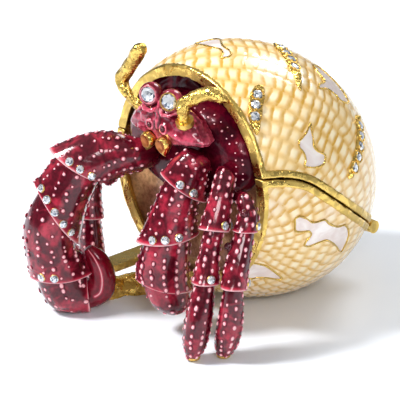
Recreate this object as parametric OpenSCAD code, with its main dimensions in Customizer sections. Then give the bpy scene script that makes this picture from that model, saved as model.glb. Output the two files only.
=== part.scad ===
/* [Shell] */
// Half of the shell's width, which is round about its long axis
shell_half_width = 23.8; // [22.5:0.1:25]
// Half of the shell's long axis
shell_half_length = 28; // [26.5:0.5:30]
// Tilt of the long axis, with the nose up, in degrees
nose_angle = 40; // [37:1:43]
// Thickness of the cast shell
shell_wall = 1.5; // [1.3:0.1:1.8]
// How much of the shell's round belly is filed flat for the table
foot_cut = 0.6; // [0.4:0.1:1]
// Distance from the shell's centre forward to the plane of the mouth
mouth_reach = 15; // [14:0.5:16]

/* [Mouth walls] */
// Thickness of the wall that closes the lid's mouth
lid_wall = 1.5; // [1:0.1:2]
// Depth of the lid's wall behind the mouth's edge
mouth_recess = 2.5; // [2:0.1:3]
// Gap between the crab's back and the lid's wall
back_gap = 0.4; // [0.3:0.05:0.6]

/* [Seam and rims] */
// Height of the seam's level front part above the shell's centre
seam_rise = 7; // [6.2:0.2:8]
// Gap between the closed lid and the base
seam_gap = 0.3; // [0.2:0.05:0.4]
// Radius of the seam's bend behind the mouth
seam_bend_radius = 14; // [12:0.5:15]
// Steepest slope of the seam, in degrees
seam_steep_angle = 39; // [38:0.5:40]
// Slope of the seam at the hinge, in degrees
seam_hinge_angle = 29; // [28:0.5:30]
// Width of the bare rim beside the seam
rim_width = 1.4; // [1:0.1:1.8]
// Width of the bare rim on the shell round the mouth
mouth_rim_width = 0.8; // [0.6:0.1:1.2]
// How far the rims stand proud of the enamel
rim_proud = 0.3; // [0.2:0.05:0.5]

/* [Hinge] */
// Half of the hinge's length
hinge_half_length = 12.3; // [10:0.5:13]
// Half of the length of the lid's middle knuckle
middle_half_length = 5; // [4:0.5:6]
// Distance of the hinge pin in from the shell's rearmost point
hinge_inset = 2.85; // [2.6:0.05:3.1]
// Outer radius of the knuckles
barrel_radius = 1.3; // [1.1:0.1:1.5]
// Radius of the hinge pin
pin_radius = 0.5; // [0.4:0.05:0.6]
// Running clearance round the pin
pin_clearance = 0.04; // [0.02:0.01:0.08]
// Clearance between a knuckle and the other half's rim, and between knuckles
knuckle_gap = 0.2; // [0.15:0.05:0.25]

/* [Clasp magnets] */
// Radius of the two disc magnets behind the mouth
magnet_radius = 1.5; // [1.2:0.1:1.8]
// Thickness of each magnet
magnet_depth = 1.4; // [1:0.1:1.6]
// Metal left round each magnet
magnet_wall = 0.8; // [0.6:0.1:1]

/* [Crystals] */
// Radius of the crystals set in the lid
lid_crystal_radius = 0.95; // [0.8:0.05:1.05]
// Radius of the small crystals on the claws and legs
limb_crystal_radius = 0.72; // [0.6:0.02:0.8]
// Radius of the two crystals that are the eyes
eye_crystal_radius = 1.4; // [1.2:0.05:1.5]
// Width of the metal round a lid crystal
bezel_width = 0.3; // [0.2:0.05:0.4]
// Height of a bezel above the enamel
bezel_height = 0.5; // [0.4:0.05:0.7]
// Clearance round a crystal in its setting
crystal_gap = 0.04; // [0.02:0.01:0.06]

/* [Crab] */
// Depth of the flat face of the crab's chest in front of the mouth's edge
chest_step = 2.2; // [2:0.1:2.6]
// Radius of the eyeballs
eye_radius = 2.25; // [2:0.05:2.4]
// Distance from the middle to each eye
eye_half_spacing = 2.7; // [2.6:0.05:2.9]
// Thickness of the flat bar between the right claw and the shell
brace_thickness = 1.4; // [1:0.1:2]
// Width of that bar
brace_width = 4.1; // [3:0.1:5]
// Height of the cast plinth from the right claw to the shell
plinth_height = 3.6; // [3:0.1:4.5]

/* [Hidden] */

$fn = 64;
loft_sides = 14;
loft_steps = 2;
tube_sides = 10;
arc_steps = 8;
egg_bands = 20;

// places that follow from the sizes
nose_rise = shell_half_length * sin(nose_angle);
crown_rise = shell_half_width * cos(nose_angle);
shell_z = sqrt(nose_rise * nose_rise + crown_rise * crown_rise) - foot_cut;
shell_reach = sqrt(pow(shell_half_length * cos(nose_angle), 2)
  + pow(shell_half_width * sin(nose_angle), 2));
hinge_reach = shell_reach - hinge_inset;
far = 4 * shell_half_length;
mouth_y = -mouth_reach;
mouth_narrowing = sqrt(1 - pow(mouth_reach / shell_reach, 2));
mouth_half_width = shell_half_width * mouth_narrowing;
mouth_half_height = shell_half_length * shell_half_width / shell_reach * mouth_narrowing;
lid_wall_y = mouth_y + mouth_recess;
wall_back_y = lid_wall_y + lid_wall;
carapace_back_y = lid_wall_y - back_gap;
chest_y = mouth_y - chest_step;
seam_z = shell_z + seam_rise;

// the crab's size, and where the zero of its tables lies so that it grows from the chest
limb = seam_z;
chest_share = 0.5372;
crab_y = chest_y + chest_share * limb;

// the seam in the side view: level, then a bend, then a long hollow curve down to the hinge
seam_bend_run = seam_bend_radius * sin(seam_steep_angle);
seam_bend_drop = seam_bend_radius * (1 - cos(seam_steep_angle));
seam_bend_y = mouth_y * 0.9;
seam_tail_run = hinge_reach - seam_bend_y - seam_bend_run;
seam_tail_radius = seam_tail_run / (sin(seam_steep_angle) - sin(seam_hinge_angle));
seam_tail_drop = seam_tail_radius * (cos(seam_hinge_angle) - cos(seam_steep_angle));
hinge_z = seam_z - seam_bend_drop - seam_tail_drop;

function seam_bend_point(turn, shift) = [
  seam_bend_y + (seam_bend_radius + shift) * sin(turn),
  seam_z - seam_bend_radius + (seam_bend_radius + shift) * cos(turn)
];
function seam_tail_point(turn, shift) = [
  hinge_reach - (seam_tail_radius - shift) * (sin(turn) - sin(seam_hinge_angle))
    + shift * sin(seam_hinge_angle),
  hinge_z + (seam_tail_radius - shift) * (cos(seam_hinge_angle) - cos(turn))
    + shift * cos(seam_hinge_angle)
];
function seam_line(shift) = concat(
  [[-far, seam_z + shift]],
  [for (i = [0 : arc_steps]) seam_bend_point(seam_steep_angle * i / arc_steps, shift)],
  [for (i = [1 : arc_steps])
    seam_tail_point(seam_steep_angle + (seam_hinge_angle - seam_steep_angle) * i / arc_steps, shift)],
  [[hinge_reach + far * cos(seam_hinge_angle) + shift * sin(seam_hinge_angle),
    hinge_z - far * sin(seam_hinge_angle) + shift * cos(seam_hinge_angle)]]
);

// everything above or below the seam, as a prism along X
module side_prism(outline) {
  rotate([90, 0, 90]) linear_extrude(height = 2 * far, center = true) polygon(outline);
}
module above_seam(shift) {
  side_prism(concat(seam_line(shift), [[2 * far, 2 * far], [-far, 2 * far]]));
}
module below_seam(shift) {
  side_prism(concat(seam_line(-shift), [[2 * far, -2 * far], [-far, -2 * far]]));
}
module behind(y) {
  translate([-far, y, -far]) cube(2 * far);
}
module in_front(y) {
  translate([-far, y - 2 * far, -far]) cube(2 * far);
}
module above_table() {
  translate([-far, -far, 0]) cube(2 * far);
}

// the shell's egg, turned about its long axis, and grown or shrunk all round
module egg(grow = 0) {
  wide = shell_half_width + grow;
  long = shell_half_length + grow;
  bands = [for (i = [1 : egg_bands - 1]) let (turn = 180 * i / egg_bands)
    [wide * sin(turn), -long * cos(turn)]];
  translate([0, 0, shell_z]) rotate([90 - nose_angle, 0, 0])
    rotate_extrude() polygon(concat([[0, -long]], bands, [[0, long]]));
}

// a point on the shell by its longitude from the nose and its latitude, with +Z outward
module on_shell(longitude, latitude, lift = 0) {
  unit = [
    cos(latitude) * sin(longitude), -cos(latitude) * cos(longitude), sin(latitude)
  ];
  radii = [shell_half_width, shell_half_length, shell_half_width];
  place = [for (i = [0 : 2]) unit[i] * radii[i]];
  slope = [for (i = [0 : 2]) unit[i] / radii[i]];
  out = slope / norm(slope);
  level = cross([0, 0, 1], out);
  side = level / norm(level);
  up = cross(out, side);
  spot = place + out * lift;
  translate([0, 0, shell_z]) rotate([-nose_angle, 0, 0]) multmatrix([
    [side[0], up[0], out[0], spot[0]],
    [side[1], up[1], out[1], spot[1]],
    [side[2], up[2], out[2], spot[2]],
    [0, 0, 0, 1]
  ]) children();
}

// hinge
module along_hinge(from, to, radius) {
  translate([from, hinge_reach, hinge_z]) rotate([0, 90, 0])
    cylinder(h = to - from, r = radius);
}
module lid_knuckle_space(grow) {
  along_hinge(-middle_half_length - grow, middle_half_length + grow, barrel_radius + grow);
}
module base_knuckle_space(grow) {
  for (side = [-1, 1]) {
    near = side * (middle_half_length + knuckle_gap - grow);
    end = side * (hinge_half_length + grow);
    along_hinge(min(near, end), max(near, end), barrel_radius + grow);
  }
}
// the leaf that joins a knuckle to its rim: a flat tab that ends inside the shell's wall
leaf_share = 0.6;
leaf_seat_share = 0.9;
leaf_start = (barrel_radius + pin_radius + pin_clearance) / 2;
leaf_turn = seam_hinge_angle - nose_angle;
hinge_rise = hinge_z - shell_z;
hinge_along = (hinge_rise * sin(nose_angle) - hinge_reach * cos(nose_angle)) / shell_half_length;
hinge_across = (hinge_rise * cos(nose_angle) + hinge_reach * sin(nose_angle)) / shell_half_width;
leaf_along = cos(leaf_turn) / shell_half_length;
leaf_across = sin(leaf_turn) / shell_half_width;
leaf_square = leaf_along * leaf_along + leaf_across * leaf_across;
leaf_slope = hinge_along * leaf_along + hinge_across * leaf_across;
leaf_excess = hinge_along * hinge_along + hinge_across * hinge_across - 1;
leaf_gap = (-leaf_slope - sqrt(leaf_slope * leaf_slope - leaf_square * leaf_excess)) / leaf_square;
function leaf_end(x) = leaf_gap + leaf_seat_share * shell_wall
  + shell_half_width * (1 - sqrt(1 - pow(x / shell_half_width, 2)));
module leaf(near, end, low, high) {
  middle = (near + end) / 2;
  translate([0, hinge_reach, hinge_z]) rotate([-seam_hinge_angle, 0, 0]) translate([0, 0, low])
    linear_extrude(height = high - low) polygon([
      [near, -leaf_start], [near, -leaf_end(near)], [middle, -leaf_end(middle)],
      [end, -leaf_end(end)], [end, -leaf_start]
    ]);
}
module base_leaves(high) {
  for (side = [-1, 1])
    leaf(side * (middle_half_length + knuckle_gap), side * hinge_half_length,
      -leaf_share * barrel_radius, high);
}
module lid_leaf(low) {
  leaf(-middle_half_length, middle_half_length, low, leaf_share * barrel_radius);
}
module pin_bore() {
  along_hinge(-far, far, pin_radius + pin_clearance);
}

module base_knuckles() color("goldenrod") difference() {
  union() {
    base_knuckle_space(0);
    base_leaves(-seam_gap / 2);
  }
  pin_bore();
}
module lid_knuckle() color("goldenrod") difference() {
  union() {
    lid_knuckle_space(0);
    lid_leaf(seam_gap / 2);
  }
  pin_bore();
}
module hinge_pin() color("gold") {
  along_hinge(-hinge_half_length, hinge_half_length, pin_radius);
}

// base
module base_shell() color("wheat") difference() {
  intersection() {
    egg();
    above_table();
    below_seam(seam_gap / 2 + rim_width);
    behind(mouth_y + mouth_rim_width);
  }
  egg(-shell_wall);
  lid_knuckle_space(knuckle_gap);
  base_knuckle_space(0);
  base_leaves(barrel_radius);
}
module base_rim() color("goldenrod") difference() {
  intersection() {
    egg(rim_proud);
    above_table();
    below_seam(seam_gap / 2);
    behind(mouth_y);
  }
  egg(-shell_wall);
  intersection() {
    below_seam(seam_gap / 2 + rim_width);
    behind(mouth_y + mouth_rim_width);
  }
  lid_knuckle_space(knuckle_gap);
  base_knuckle_space(0);
  base_leaves(barrel_radius);
}
magnet_y = wall_back_y + magnet_radius + magnet_wall;
magnet_seat_height = 2 * magnet_depth + magnet_wall;
base_magnet_top = seam_z - magnet_wall - magnet_depth / 2;
lid_magnet_low = seam_z + magnet_wall;
module magnet_boss(low) {
  radius = magnet_radius + magnet_wall;
  translate([0, magnet_y, low]) cylinder(h = magnet_seat_height, r = radius);
  translate([-radius, wall_back_y, low]) cube([2 * radius, radius, magnet_seat_height]);
}
module base_mouth_wall() color("peru") difference() {
  union() {
    intersection() {
      egg(-shell_wall);
      below_seam(seam_gap / 2);
      behind(carapace_back_y);
      in_front(wall_back_y);
    }
    magnet_boss(base_magnet_top - magnet_seat_height);
  }
  translate([0, magnet_y, base_magnet_top - magnet_depth])
    cylinder(h = far, r = magnet_radius + crystal_gap);
}
module base_magnet() color("silver") {
  translate([0, magnet_y, base_magnet_top - magnet_depth])
    cylinder(h = magnet_depth, r = magnet_radius);
}

// lid
module lid_shell() color("wheat") difference() {
  intersection() {
    egg();
    above_seam(seam_gap / 2 + rim_width);
    behind(mouth_y + mouth_rim_width);
  }
  egg(-shell_wall);
  lid_knuckle_space(0);
  lid_leaf(-barrel_radius);
  base_knuckle_space(knuckle_gap);
}
module lid_rim() color("goldenrod") difference() {
  intersection() {
    egg(rim_proud);
    above_seam(seam_gap / 2);
    behind(mouth_y);
  }
  egg(-shell_wall);
  intersection() {
    above_seam(seam_gap / 2 + rim_width);
    behind(mouth_y + mouth_rim_width);
  }
  lid_knuckle_space(0);
  lid_leaf(-barrel_radius);
  base_knuckle_space(knuckle_gap);
}
module lid_mouth_wall() color("maroon") difference() {
  union() {
    intersection() {
      egg(-shell_wall);
      above_seam(seam_gap / 2);
      behind(lid_wall_y);
      in_front(wall_back_y);
    }
    magnet_boss(lid_magnet_low);
  }
  translate([0, magnet_y, lid_magnet_low + magnet_depth - far])
    cylinder(h = far, r = magnet_radius + crystal_gap);
}
module lid_magnet() color("silver") {
  translate([0, magnet_y, lid_magnet_low]) cylinder(h = magnet_depth, r = magnet_radius);
}

// crystals, with a flat back, a straight girdle and a sloped crown
girdle_share = 0.3;
crown_share = 0.4;
table_share = 0.55;
module crystal(radius) {
  cylinder(h = girdle_share * radius, r = radius);
  translate([0, 0, girdle_share * radius])
    cylinder(h = crown_share * radius, r1 = radius, r2 = table_share * radius);
}

// rows of crystals in the lid: longitude and latitude of each one, in degrees
short_row = [[36.4, 22.4], [38, 17.4], [40.2, 12.5]];
crown_row = [[24, 62.8], [32.6, 58.9], [39.4, 54.7], [44.1, 49.5]];
side_row = [[96.4, 40.4], [95.6, 35], [94.6, 29.4], [93.4, 23.6], [92.2, 17.8]];
lid_rows = [short_row, crown_row, side_row];
module lid_crystals() color("white") {
  for (row = lid_rows) for (spot = row)
    on_shell(spot[0], spot[1], crystal_gap) crystal(lid_crystal_radius);
}
module lid_settings() color("gold") {
  for (row = lid_rows) difference() {
    for (spot = row) on_shell(spot[0], spot[1], 0)
      cylinder(h = bezel_height, r = lid_crystal_radius + crystal_gap + bezel_width);
    for (spot = row) on_shell(spot[0], spot[1], -bezel_height)
      cylinder(h = 3 * bezel_height, r = lid_crystal_radius + crystal_gap);
  }
}

// a ring of points: a centre, the limb's plan angle, the section's turn, and its two half sizes
function ring(station) = let (
    plan = station[3], turn = station[4],
    depth = [cos(turn) * cos(plan), cos(turn) * sin(plan), sin(turn)],
    across = [-sin(plan), cos(plan), 0]
  ) [for (j = [0 : loft_sides - 1]) let (angle = 360 * j / loft_sides)
    [station[0], station[1], station[2]]
      + station[5] * cos(angle) * depth + station[6] * sin(angle) * across];

// the ring where a limb leaves the flat chest
function chest_ring(x_share, z_share, width_share, height_share) =
  [for (j = [0 : loft_sides - 1]) let (angle = 360 * j / loft_sides)
    [limb * (x_share + width_share * sin(angle)), chest_y,
     limb * (z_share - height_share * cos(angle))]];

// stations from shares of the limb size, in a vertical plane through a root
function in_plane(root_shares, plan, rows) = [for (row = rows) [
  limb * (root_shares[0] + row[0] * cos(plan)),
  crab_y + limb * (root_shares[1] + row[0] * sin(plan)),
  limb * row[1], plan, row[2], limb * row[3], limb * row[4]
]];
// stations from shares of the limb size, each with its own plan angle
function in_space(rows) = [for (row = rows) [
  limb * row[0], crab_y + limb * row[1], limb * row[2], row[3], row[4],
  limb * row[5], limb * row[6]
]];

// a smooth run of stations through the given ones
function bend(a, b, c, d, t) =
  0.5 * ((2 * b) + (c - a) * t + (2 * a - 5 * b + 4 * c - d) * t * t
    + (3 * b - a - 3 * c + d) * t * t * t);
function smooth(stations) = let (last = len(stations) - 1) concat(
  [for (i = [0 : last - 1]) for (k = [0 : loft_steps - 1])
    bend(stations[max(i - 1, 0)], stations[i], stations[i + 1], stations[min(i + 2, last)],
      k / loft_steps)],
  [stations[last]]);
function rings(stations) = [for (station = smooth(stations)) ring(station)];

// a closed skin over a row of rings
module skin(loops) {
  sides = len(loops[0]);
  count = len(loops);
  points = [for (loop = loops) for (point = loop) point];
  walls = [for (i = [0 : count - 2]) for (j = [0 : sides - 1]) let (
      k = (j + 1) % sides,
      a = i * sides + j, b = (i + 1) * sides + j, c = (i + 1) * sides + k, d = i * sides + k
    ) each [[a, b, c], [a, c, d]]];
  start = [for (j = [0 : sides - 1]) j];
  end = [for (j = [sides - 1 : -1 : 0]) (count - 1) * sides + j];
  polyhedron(points = points, faces = concat(walls, [start, end]));
}
module segment(stations) skin(rings(stations));
module rooted_segment(root, stations) skin(concat([root], rings(stations)));

// a place on the flared end of a limb, back from its edge, with +Z outward
function ring_spot(station, angle) = let (
    plan = station[3], turn = station[4],
    depth = [cos(turn) * cos(plan), cos(turn) * sin(plan), sin(turn)],
    across = [-sin(plan), cos(plan), 0]
  ) [station[0], station[1], station[2]]
    + station[5] * cos(angle) * depth + station[6] * sin(angle) * across;
module on_flare(stations, angle, back) {
  smoothed = smooth(stations);
  end = smoothed[len(smoothed) - 1];
  edge = ring_spot(end, angle);
  run = edge - ring_spot(smoothed[len(smoothed) - 2], angle);
  along = run / norm(run);
  round = ring_spot(end, angle + 1) - ring_spot(end, angle - 1);
  face = cross(round, along);
  away = edge - [end[0], end[1], end[2]];
  out = (face * away > 0 ? 1 : -1) * face / norm(face);
  side = cross(along, out);
  spot = edge - back * along;
  multmatrix([
    [side[0], along[0], out[0], spot[0]],
    [side[1], along[1], out[1], spot[1]],
    [side[2], along[2], out[2], spot[2]],
    [0, 0, 0, 1]
  ]) children();
}

// crab's body
carapace_shares = [0.84, 0.22, 0.484];
carapace_radii = [
  mouth_half_width * carapace_shares[0], limb * carapace_shares[1], mouth_half_height * carapace_shares[2]
];
carapace_z = seam_z + mouth_half_height * 0.06;
module carapace_egg() {
  translate([0, carapace_back_y, carapace_z]) scale(carapace_radii) sphere(1);
}
module carapace() color("maroon") intersection() {
  carapace_egg();
  behind(chest_y);
  in_front(carapace_back_y);
}
eye_y = chest_y - limb * 0.14;
eye_z = limb * 1.388;
eye_tilt = 10;
eye_face_share = 0.58;
module eye_place(side) {
  translate([side * eye_half_spacing, eye_y, eye_z]) rotate([90 - eye_tilt, 0, 0]) children();
}
module eyeball(side) {
  difference() {
    intersection() {
      eye_place(side) sphere(eye_radius);
      eye_place(side) translate([-far, -far, eye_face_share * eye_radius - 2 * far]) cube(2 * far);
    }
    eye_place(side) translate([0, 0, eye_face_share * eye_radius - girdle_share * eye_crystal_radius])
      cylinder(h = far, r = eye_crystal_radius + crystal_gap);
  }
}
module left_eye() color("indianred") eyeball(1);
module right_eye() color("indianred") eyeball(-1);
module eye_crystals() color("white") for (side = [-1, 1]) {
  eye_place(side) translate([0, 0, eye_face_share * eye_radius - girdle_share * eye_crystal_radius])
    crystal(eye_crystal_radius);
}
// pointed scoops at the mouth, each turned about its own length and hollowed in front
mouthpart_height = limb * 0.125;
mouthpart_spot_shares = [0.064, 0.18, 1.122];
mouthpart_lean = 12;
mouthpart_profile_shares = [
  [0, -0.52], [0.2, -0.3], [0.36, -0.05], [0.39, 0.15], [0.3, 0.36], [0, 0.48]
];
mouthpart_hollow_share = 0.5;
mouthpart_hollow_reach_share = 0.66;
module mouthpart_place(side) {
  translate([side * limb * mouthpart_spot_shares[0], chest_y - limb * mouthpart_spot_shares[1],
    limb * mouthpart_spot_shares[2]]) rotate([0, -side * mouthpart_lean, 0]) children();
}
module mouthpart_body(height) {
  rotate_extrude() polygon(height * mouthpart_profile_shares);
}
module mouthparts() color("goldenrod") for (side = [-1, 1]) mouthpart_place(side) difference() {
  mouthpart_body(mouthpart_height);
  translate([0, -mouthpart_hollow_reach_share * mouthpart_height, 0])
    sphere(mouthpart_hollow_share * mouthpart_height);
}

// a round tube through points with radii, each ring square to the path, with a straight root
function tube_loop(path, i, sides) = let (
    last = len(path) - 1,
    a = path[max(i - 1, 0)], b = path[min(i + 1, last)],
    run = [b[0] - a[0], b[1] - a[1], b[2] - a[2]],
    ahead = run / norm(run),
    flat = cross(ahead, [0, 1, 0]),
    u = flat / norm(flat),
    v = cross(ahead, u)
  ) [for (j = [0 : sides - 1]) let (angle = 360 * j / sides)
    [path[i][0], path[i][1], path[i][2]] + path[i][3] * (cos(angle) * u + sin(angle) * v)];
function tube_spot(path) = [path[0][0], path[0][1], path[0][2]];
function tube_heading(path) = let (
    next = smooth(path)[1], run = [next[0], next[1], next[2]] - tube_spot(path)
  ) run / norm(run);
module tube(path, root) {
  foot = tube_spot(path) - root * tube_heading(path);
  smoothed = concat([[foot[0], foot[1], foot[2], path[0][3]]], smooth(path));
  skin([for (i = [0 : len(smoothed) - 1]) tube_loop(smoothed, i, tube_sides)]);
}
// at the start of a tube, with +Z along it
module at_tube(path) {
  ahead = tube_heading(path);
  flat = cross([0, 1, 0], ahead);
  side = flat / norm(flat);
  up = cross(ahead, side);
  spot = tube_spot(path);
  multmatrix([
    [side[0], up[0], ahead[0], spot[0]],
    [side[1], up[1], ahead[1], spot[1]],
    [side[2], up[2], ahead[2], spot[2]],
    [0, 0, 0, 1]
  ]) children();
}
left_antenna_shares = [
  [-0.232, -0.628, 1.262, 0.024], [-0.302, -0.654, 1.327, 0.022], [-0.365, -0.645, 1.393, 0.03],
  [-0.327, -0.642, 1.447, 0.034], [-0.261, -0.642, 1.541, 0.036], [-0.206, -0.645, 1.62, 0.032],
  [-0.195, -0.645, 1.642, 0.014]
];
right_antenna_shares = [
  [0.187, -0.672, 1.3, 0.026], [0.195, -0.691, 1.358, 0.026], [0.2, -0.682, 1.405, 0.03],
  [0.236, -0.645, 1.437, 0.034], [0.311, -0.597, 1.469, 0.03], [0.375, -0.56, 1.443, 0.028],
  [0.387, -0.56, 1.431, 0.014]
];
collar_height = limb * 0.03;
collar_radius = limb * 0.052;
antenna_root = limb * 0.07;
function antenna_radius(path) = path[0][3] + crystal_gap;
function antenna_path(shares) = [for (row = shares) limb * row + [0, crab_y, 0, 0]];
left_antenna_path = antenna_path(left_antenna_shares);
right_antenna_path = antenna_path(right_antenna_shares);
module left_antenna() color("gold") tube(left_antenna_path, antenna_root);
module right_antenna() color("gold") tube(right_antenna_path, antenna_root);
module antenna_hole(path) {
  at_tube(path) translate([0, 0, -antenna_root - crystal_gap])
    cylinder(h = 2 * antenna_root, r = antenna_radius(path));
}
module antenna_collar() color("gold") at_tube(right_antenna_path) difference() {
  translate([0, 0, -collar_height]) cylinder(h = collar_height, r = collar_radius);
  translate([0, 0, -2 * collar_height])
    cylinder(h = 3 * collar_height, r = antenna_radius(right_antenna_path));
}

// the head's outline from the front, from the chin round the cheek to the brow
head_outline_shares = [
  [0, 1.1], [0.09, 1.103], [0.16, 1.122], [0.235, 1.138], [0.3, 1.152], [0.315, 1.175],
  [0.285, 1.22], [0.235, 1.275], [0.17, 1.325], [0.09, 1.352], [0, 1.358]
];
head_middle_share = 1.19;
// rings from the chest forward: distance and size of each
head_ring_shares = [
  [0, 0.94], [0.05, 1], [0.095, 0.96], [0.13, 0.85], [0.155, 0.66], [0.168, 0.4], [0.172, 0.12]
];
function head_ring(row) = [
  for (side = [1, -1]) for (i = [0 : len(head_outline_shares) - 2]) let (
    spot = side > 0 ? head_outline_shares[i]
      : head_outline_shares[len(head_outline_shares) - 1 - i]
  ) [side * limb * row[1] * spot[0], chest_y - limb * row[0],
     limb * (head_middle_share + row[1] * (spot[1] - head_middle_share))]];
module head() color("indianred") difference() {
  skin([for (row = head_ring_shares) head_ring(row)]);
  for (side = [-1, 1]) {
    eye_place(side) sphere(eye_radius + crystal_gap);
    mouthpart_place(side) mouthpart_body(mouthpart_height + 2 * crystal_gap);
  }
  antenna_hole(left_antenna_path);
  antenna_hole(right_antenna_path);
  at_tube(right_antenna_path) translate([0, 0, -collar_height - crystal_gap])
    cylinder(h = antenna_root, r = collar_radius + crystal_gap);
}

// right claw: reach, height, turn, half depth and half width of each station
right_claw_root = [-0.19, -0.63];
right_claw_plan = -131.3;
right_arm_shares = [
  [0.012, 0.988, -105, 0.091, 0.085], [0.154, 0.99, -104, 0.132, 0.112],
  [0.261, 0.962, -115, 0.163, 0.135], [0.38, 0.921, -149, 0.172, 0.153]
];
right_wrist_shares = [
  [0.38, 0.921, -149, 0.138, 0.125], [0.459, 0.783, -141, 0.158, 0.142],
  [0.516, 0.629, -123, 0.204, 0.165]
];
right_hand_shares = [
  [0.516, 0.629, -123, 0.165, 0.14], [0.556, 0.492, -154, 0.163, 0.152],
  [0.535, 0.371, -174, 0.167, 0.152], [0.497, 0.242, -184, 0.163, 0.157]
];
right_palm_shares = [
  [0.497, 0.242, -184, 0.145, 0.138], [0.482, 0.178, -206, 0.145, 0.138],
  [0.442, 0.125, -231, 0.14, 0.13], [0.339, 0.1, -275, 0.1, 0.095]
];
right_finger_shares = [
  [0.339, 0.1, -275, 0.075, 0.075], [0.281, 0.13, -320, 0.077, 0.084],
  [0.261, 0.185, -360, 0.074, 0.088], [0.264, 0.262, -366, 0.066, 0.085],
  [0.294, 0.34, -383, 0.055, 0.068], [0.338, 0.4, -395, 0.026, 0.03]
];
function right_claw(rows) = in_plane(right_claw_root, right_claw_plan, rows);
module right_claw_arm() color("firebrick")
  rooted_segment(chest_ring(-0.176, 0.984, 0.08, 0.085), right_claw(right_arm_shares));
module right_claw_wrist() color("firebrick") segment(right_claw(right_wrist_shares));
module right_claw_hand() color("firebrick") segment(right_claw(right_hand_shares));
module right_claw_palm() color("firebrick") intersection() {
  segment(right_claw(right_palm_shares));
  above_table();
}
module right_claw_finger() color("darkred") segment(right_claw(right_finger_shares));

// left claw
left_claw_root = [0.267, -0.566];
left_claw_plan = -130.5;
left_arm_shares = [
  [0.052, 1.066, -132, 0.085, 0.085], [0.095, 1, -140, 0.116, 0.107],
  [0.138, 0.893, -146, 0.138, 0.125]
];
left_wrist_shares = [
  [0.138, 0.893, -146, 0.11, 0.1], [0.189, 0.752, -168, 0.124, 0.11],
  [0.23, 0.591, -187, 0.158, 0.135]
];
left_palm_shares = [
  [0.23, 0.591, -187, 0.13, 0.113], [0.258, 0.425, -181, 0.143, 0.132],
  [0.248, 0.296, -168, 0.142, 0.132]
];
left_finger_shares = [
  [0.248, 0.296, -168, 0.13, 0.12], [0.217, 0.18, -180, 0.11, 0.107],
  [0.175, 0.125, -196, 0.055, 0.057]
];
function left_claw(rows) = in_plane(left_claw_root, left_claw_plan, rows);
module left_claw_arm() color("firebrick")
  rooted_segment(chest_ring(0.238, 1.022, 0.072, 0.072), left_claw(left_arm_shares));
module left_claw_wrist() color("firebrick") segment(left_claw(left_wrist_shares));
module left_claw_palm() color("firebrick") segment(left_claw(left_palm_shares));
module left_claw_finger() color("darkred") segment(left_claw(left_finger_shares));

// walking legs: centre, plan angle, turn, half depth and half width of each station
front_thigh_shares = [
  [0.44, -0.594, 1.016, -62, -120, 0.069, 0.06], [0.472, -0.67, 0.89, -62, -150, 0.075, 0.066],
  [0.49, -0.735, 0.74, -62, -160, 0.097, 0.088]
];
front_shin_shares = [
  [0.49, -0.735, 0.74, -62, -160, 0.06, 0.056], [0.503, -0.785, 0.597, -62, -163, 0.066, 0.06],
  [0.507, -0.815, 0.45, -62, -168, 0.086, 0.08]
];
front_foot_shares = [
  [0.507, -0.815, 0.45, -62, -168, 0.058, 0.055], [0.508, -0.85, 0.33, -62, -168, 0.076, 0.072],
  [0.51, -0.88, 0.204, -62, -170, 0.083, 0.077], [0.505, -0.898, 0.094, -62, -172, 0.07, 0.066],
  [0.498, -0.906, 0, -62, -180, 0.032, 0.028]
];
back_thigh_shares = [
  [0.556, -0.569, 0.902, -20, -110, 0.052, 0.046], [0.61, -0.585, 0.84, -50, -165, 0.062, 0.056],
  [0.622, -0.622, 0.742, -60, -165, 0.078, 0.073]
];
back_shin_shares = [
  [0.622, -0.622, 0.742, -60, -165, 0.058, 0.056], [0.638, -0.69, 0.59, -65, -160, 0.07, 0.07],
  [0.65, -0.735, 0.44, -69, -168, 0.08, 0.076]
];
back_foot_shares = [
  [0.65, -0.735, 0.44, -69, -168, 0.058, 0.056], [0.65, -0.752, 0.3, -69, -170, 0.072, 0.07],
  [0.638, -0.76, 0.173, -69, -174, 0.078, 0.075], [0.615, -0.76, 0.079, -69, -176, 0.065, 0.062],
  [0.594, -0.758, 0, -69, -180, 0.03, 0.028]
];
right_thigh_shares = [
  [-0.36, -0.606, 0.89, -135, -92, 0.063, 0.055], [-0.45, -0.62, 0.893, -160, -95, 0.072, 0.06],
  [-0.582, -0.613, 0.855, -167, -115, 0.082, 0.066], [-0.654, -0.626, 0.755, -167, -155, 0.091, 0.082]
];
right_shin_shares = [
  [-0.654, -0.626, 0.755, -167, -155, 0.066, 0.06], [-0.679, -0.632, 0.613, -167, -172, 0.072, 0.066],
  [-0.682, -0.632, 0.456, -167, -180, 0.082, 0.075]
];
right_foot_shares = [
  [-0.682, -0.632, 0.456, -167, -180, 0.06, 0.057], [-0.679, -0.632, 0.33, -167, -184, 0.075, 0.072],
  [-0.667, -0.629, 0.189, -167, -186, 0.079, 0.075], [-0.657, -0.629, 0.088, -167, -184, 0.063, 0.06],
  [-0.654, -0.629, 0, -167, -180, 0.03, 0.028]
];
module left_front_thigh() color("firebrick")
  rooted_segment(chest_ring(0.355, 0.99, 0.053, 0.062), in_space(front_thigh_shares));
module left_front_shin() color("firebrick") segment(in_space(front_shin_shares));
module left_front_foot() color("firebrick") segment(in_space(front_foot_shares));
module left_back_thigh() color("firebrick")
  rooted_segment(chest_ring(0.39, 0.855, 0.045, 0.052), in_space(back_thigh_shares));
module left_back_shin() color("firebrick") segment(in_space(back_shin_shares));
module left_back_foot() color("firebrick") segment(in_space(back_foot_shares));
module right_thigh() color("firebrick")
  rooted_segment(chest_ring(-0.3, 0.858, 0.053, 0.057), in_space(right_thigh_shares));
module right_shin() color("firebrick") segment(in_space(right_shin_shares));
module right_foot() color("firebrick") segment(in_space(right_foot_shares));

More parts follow.
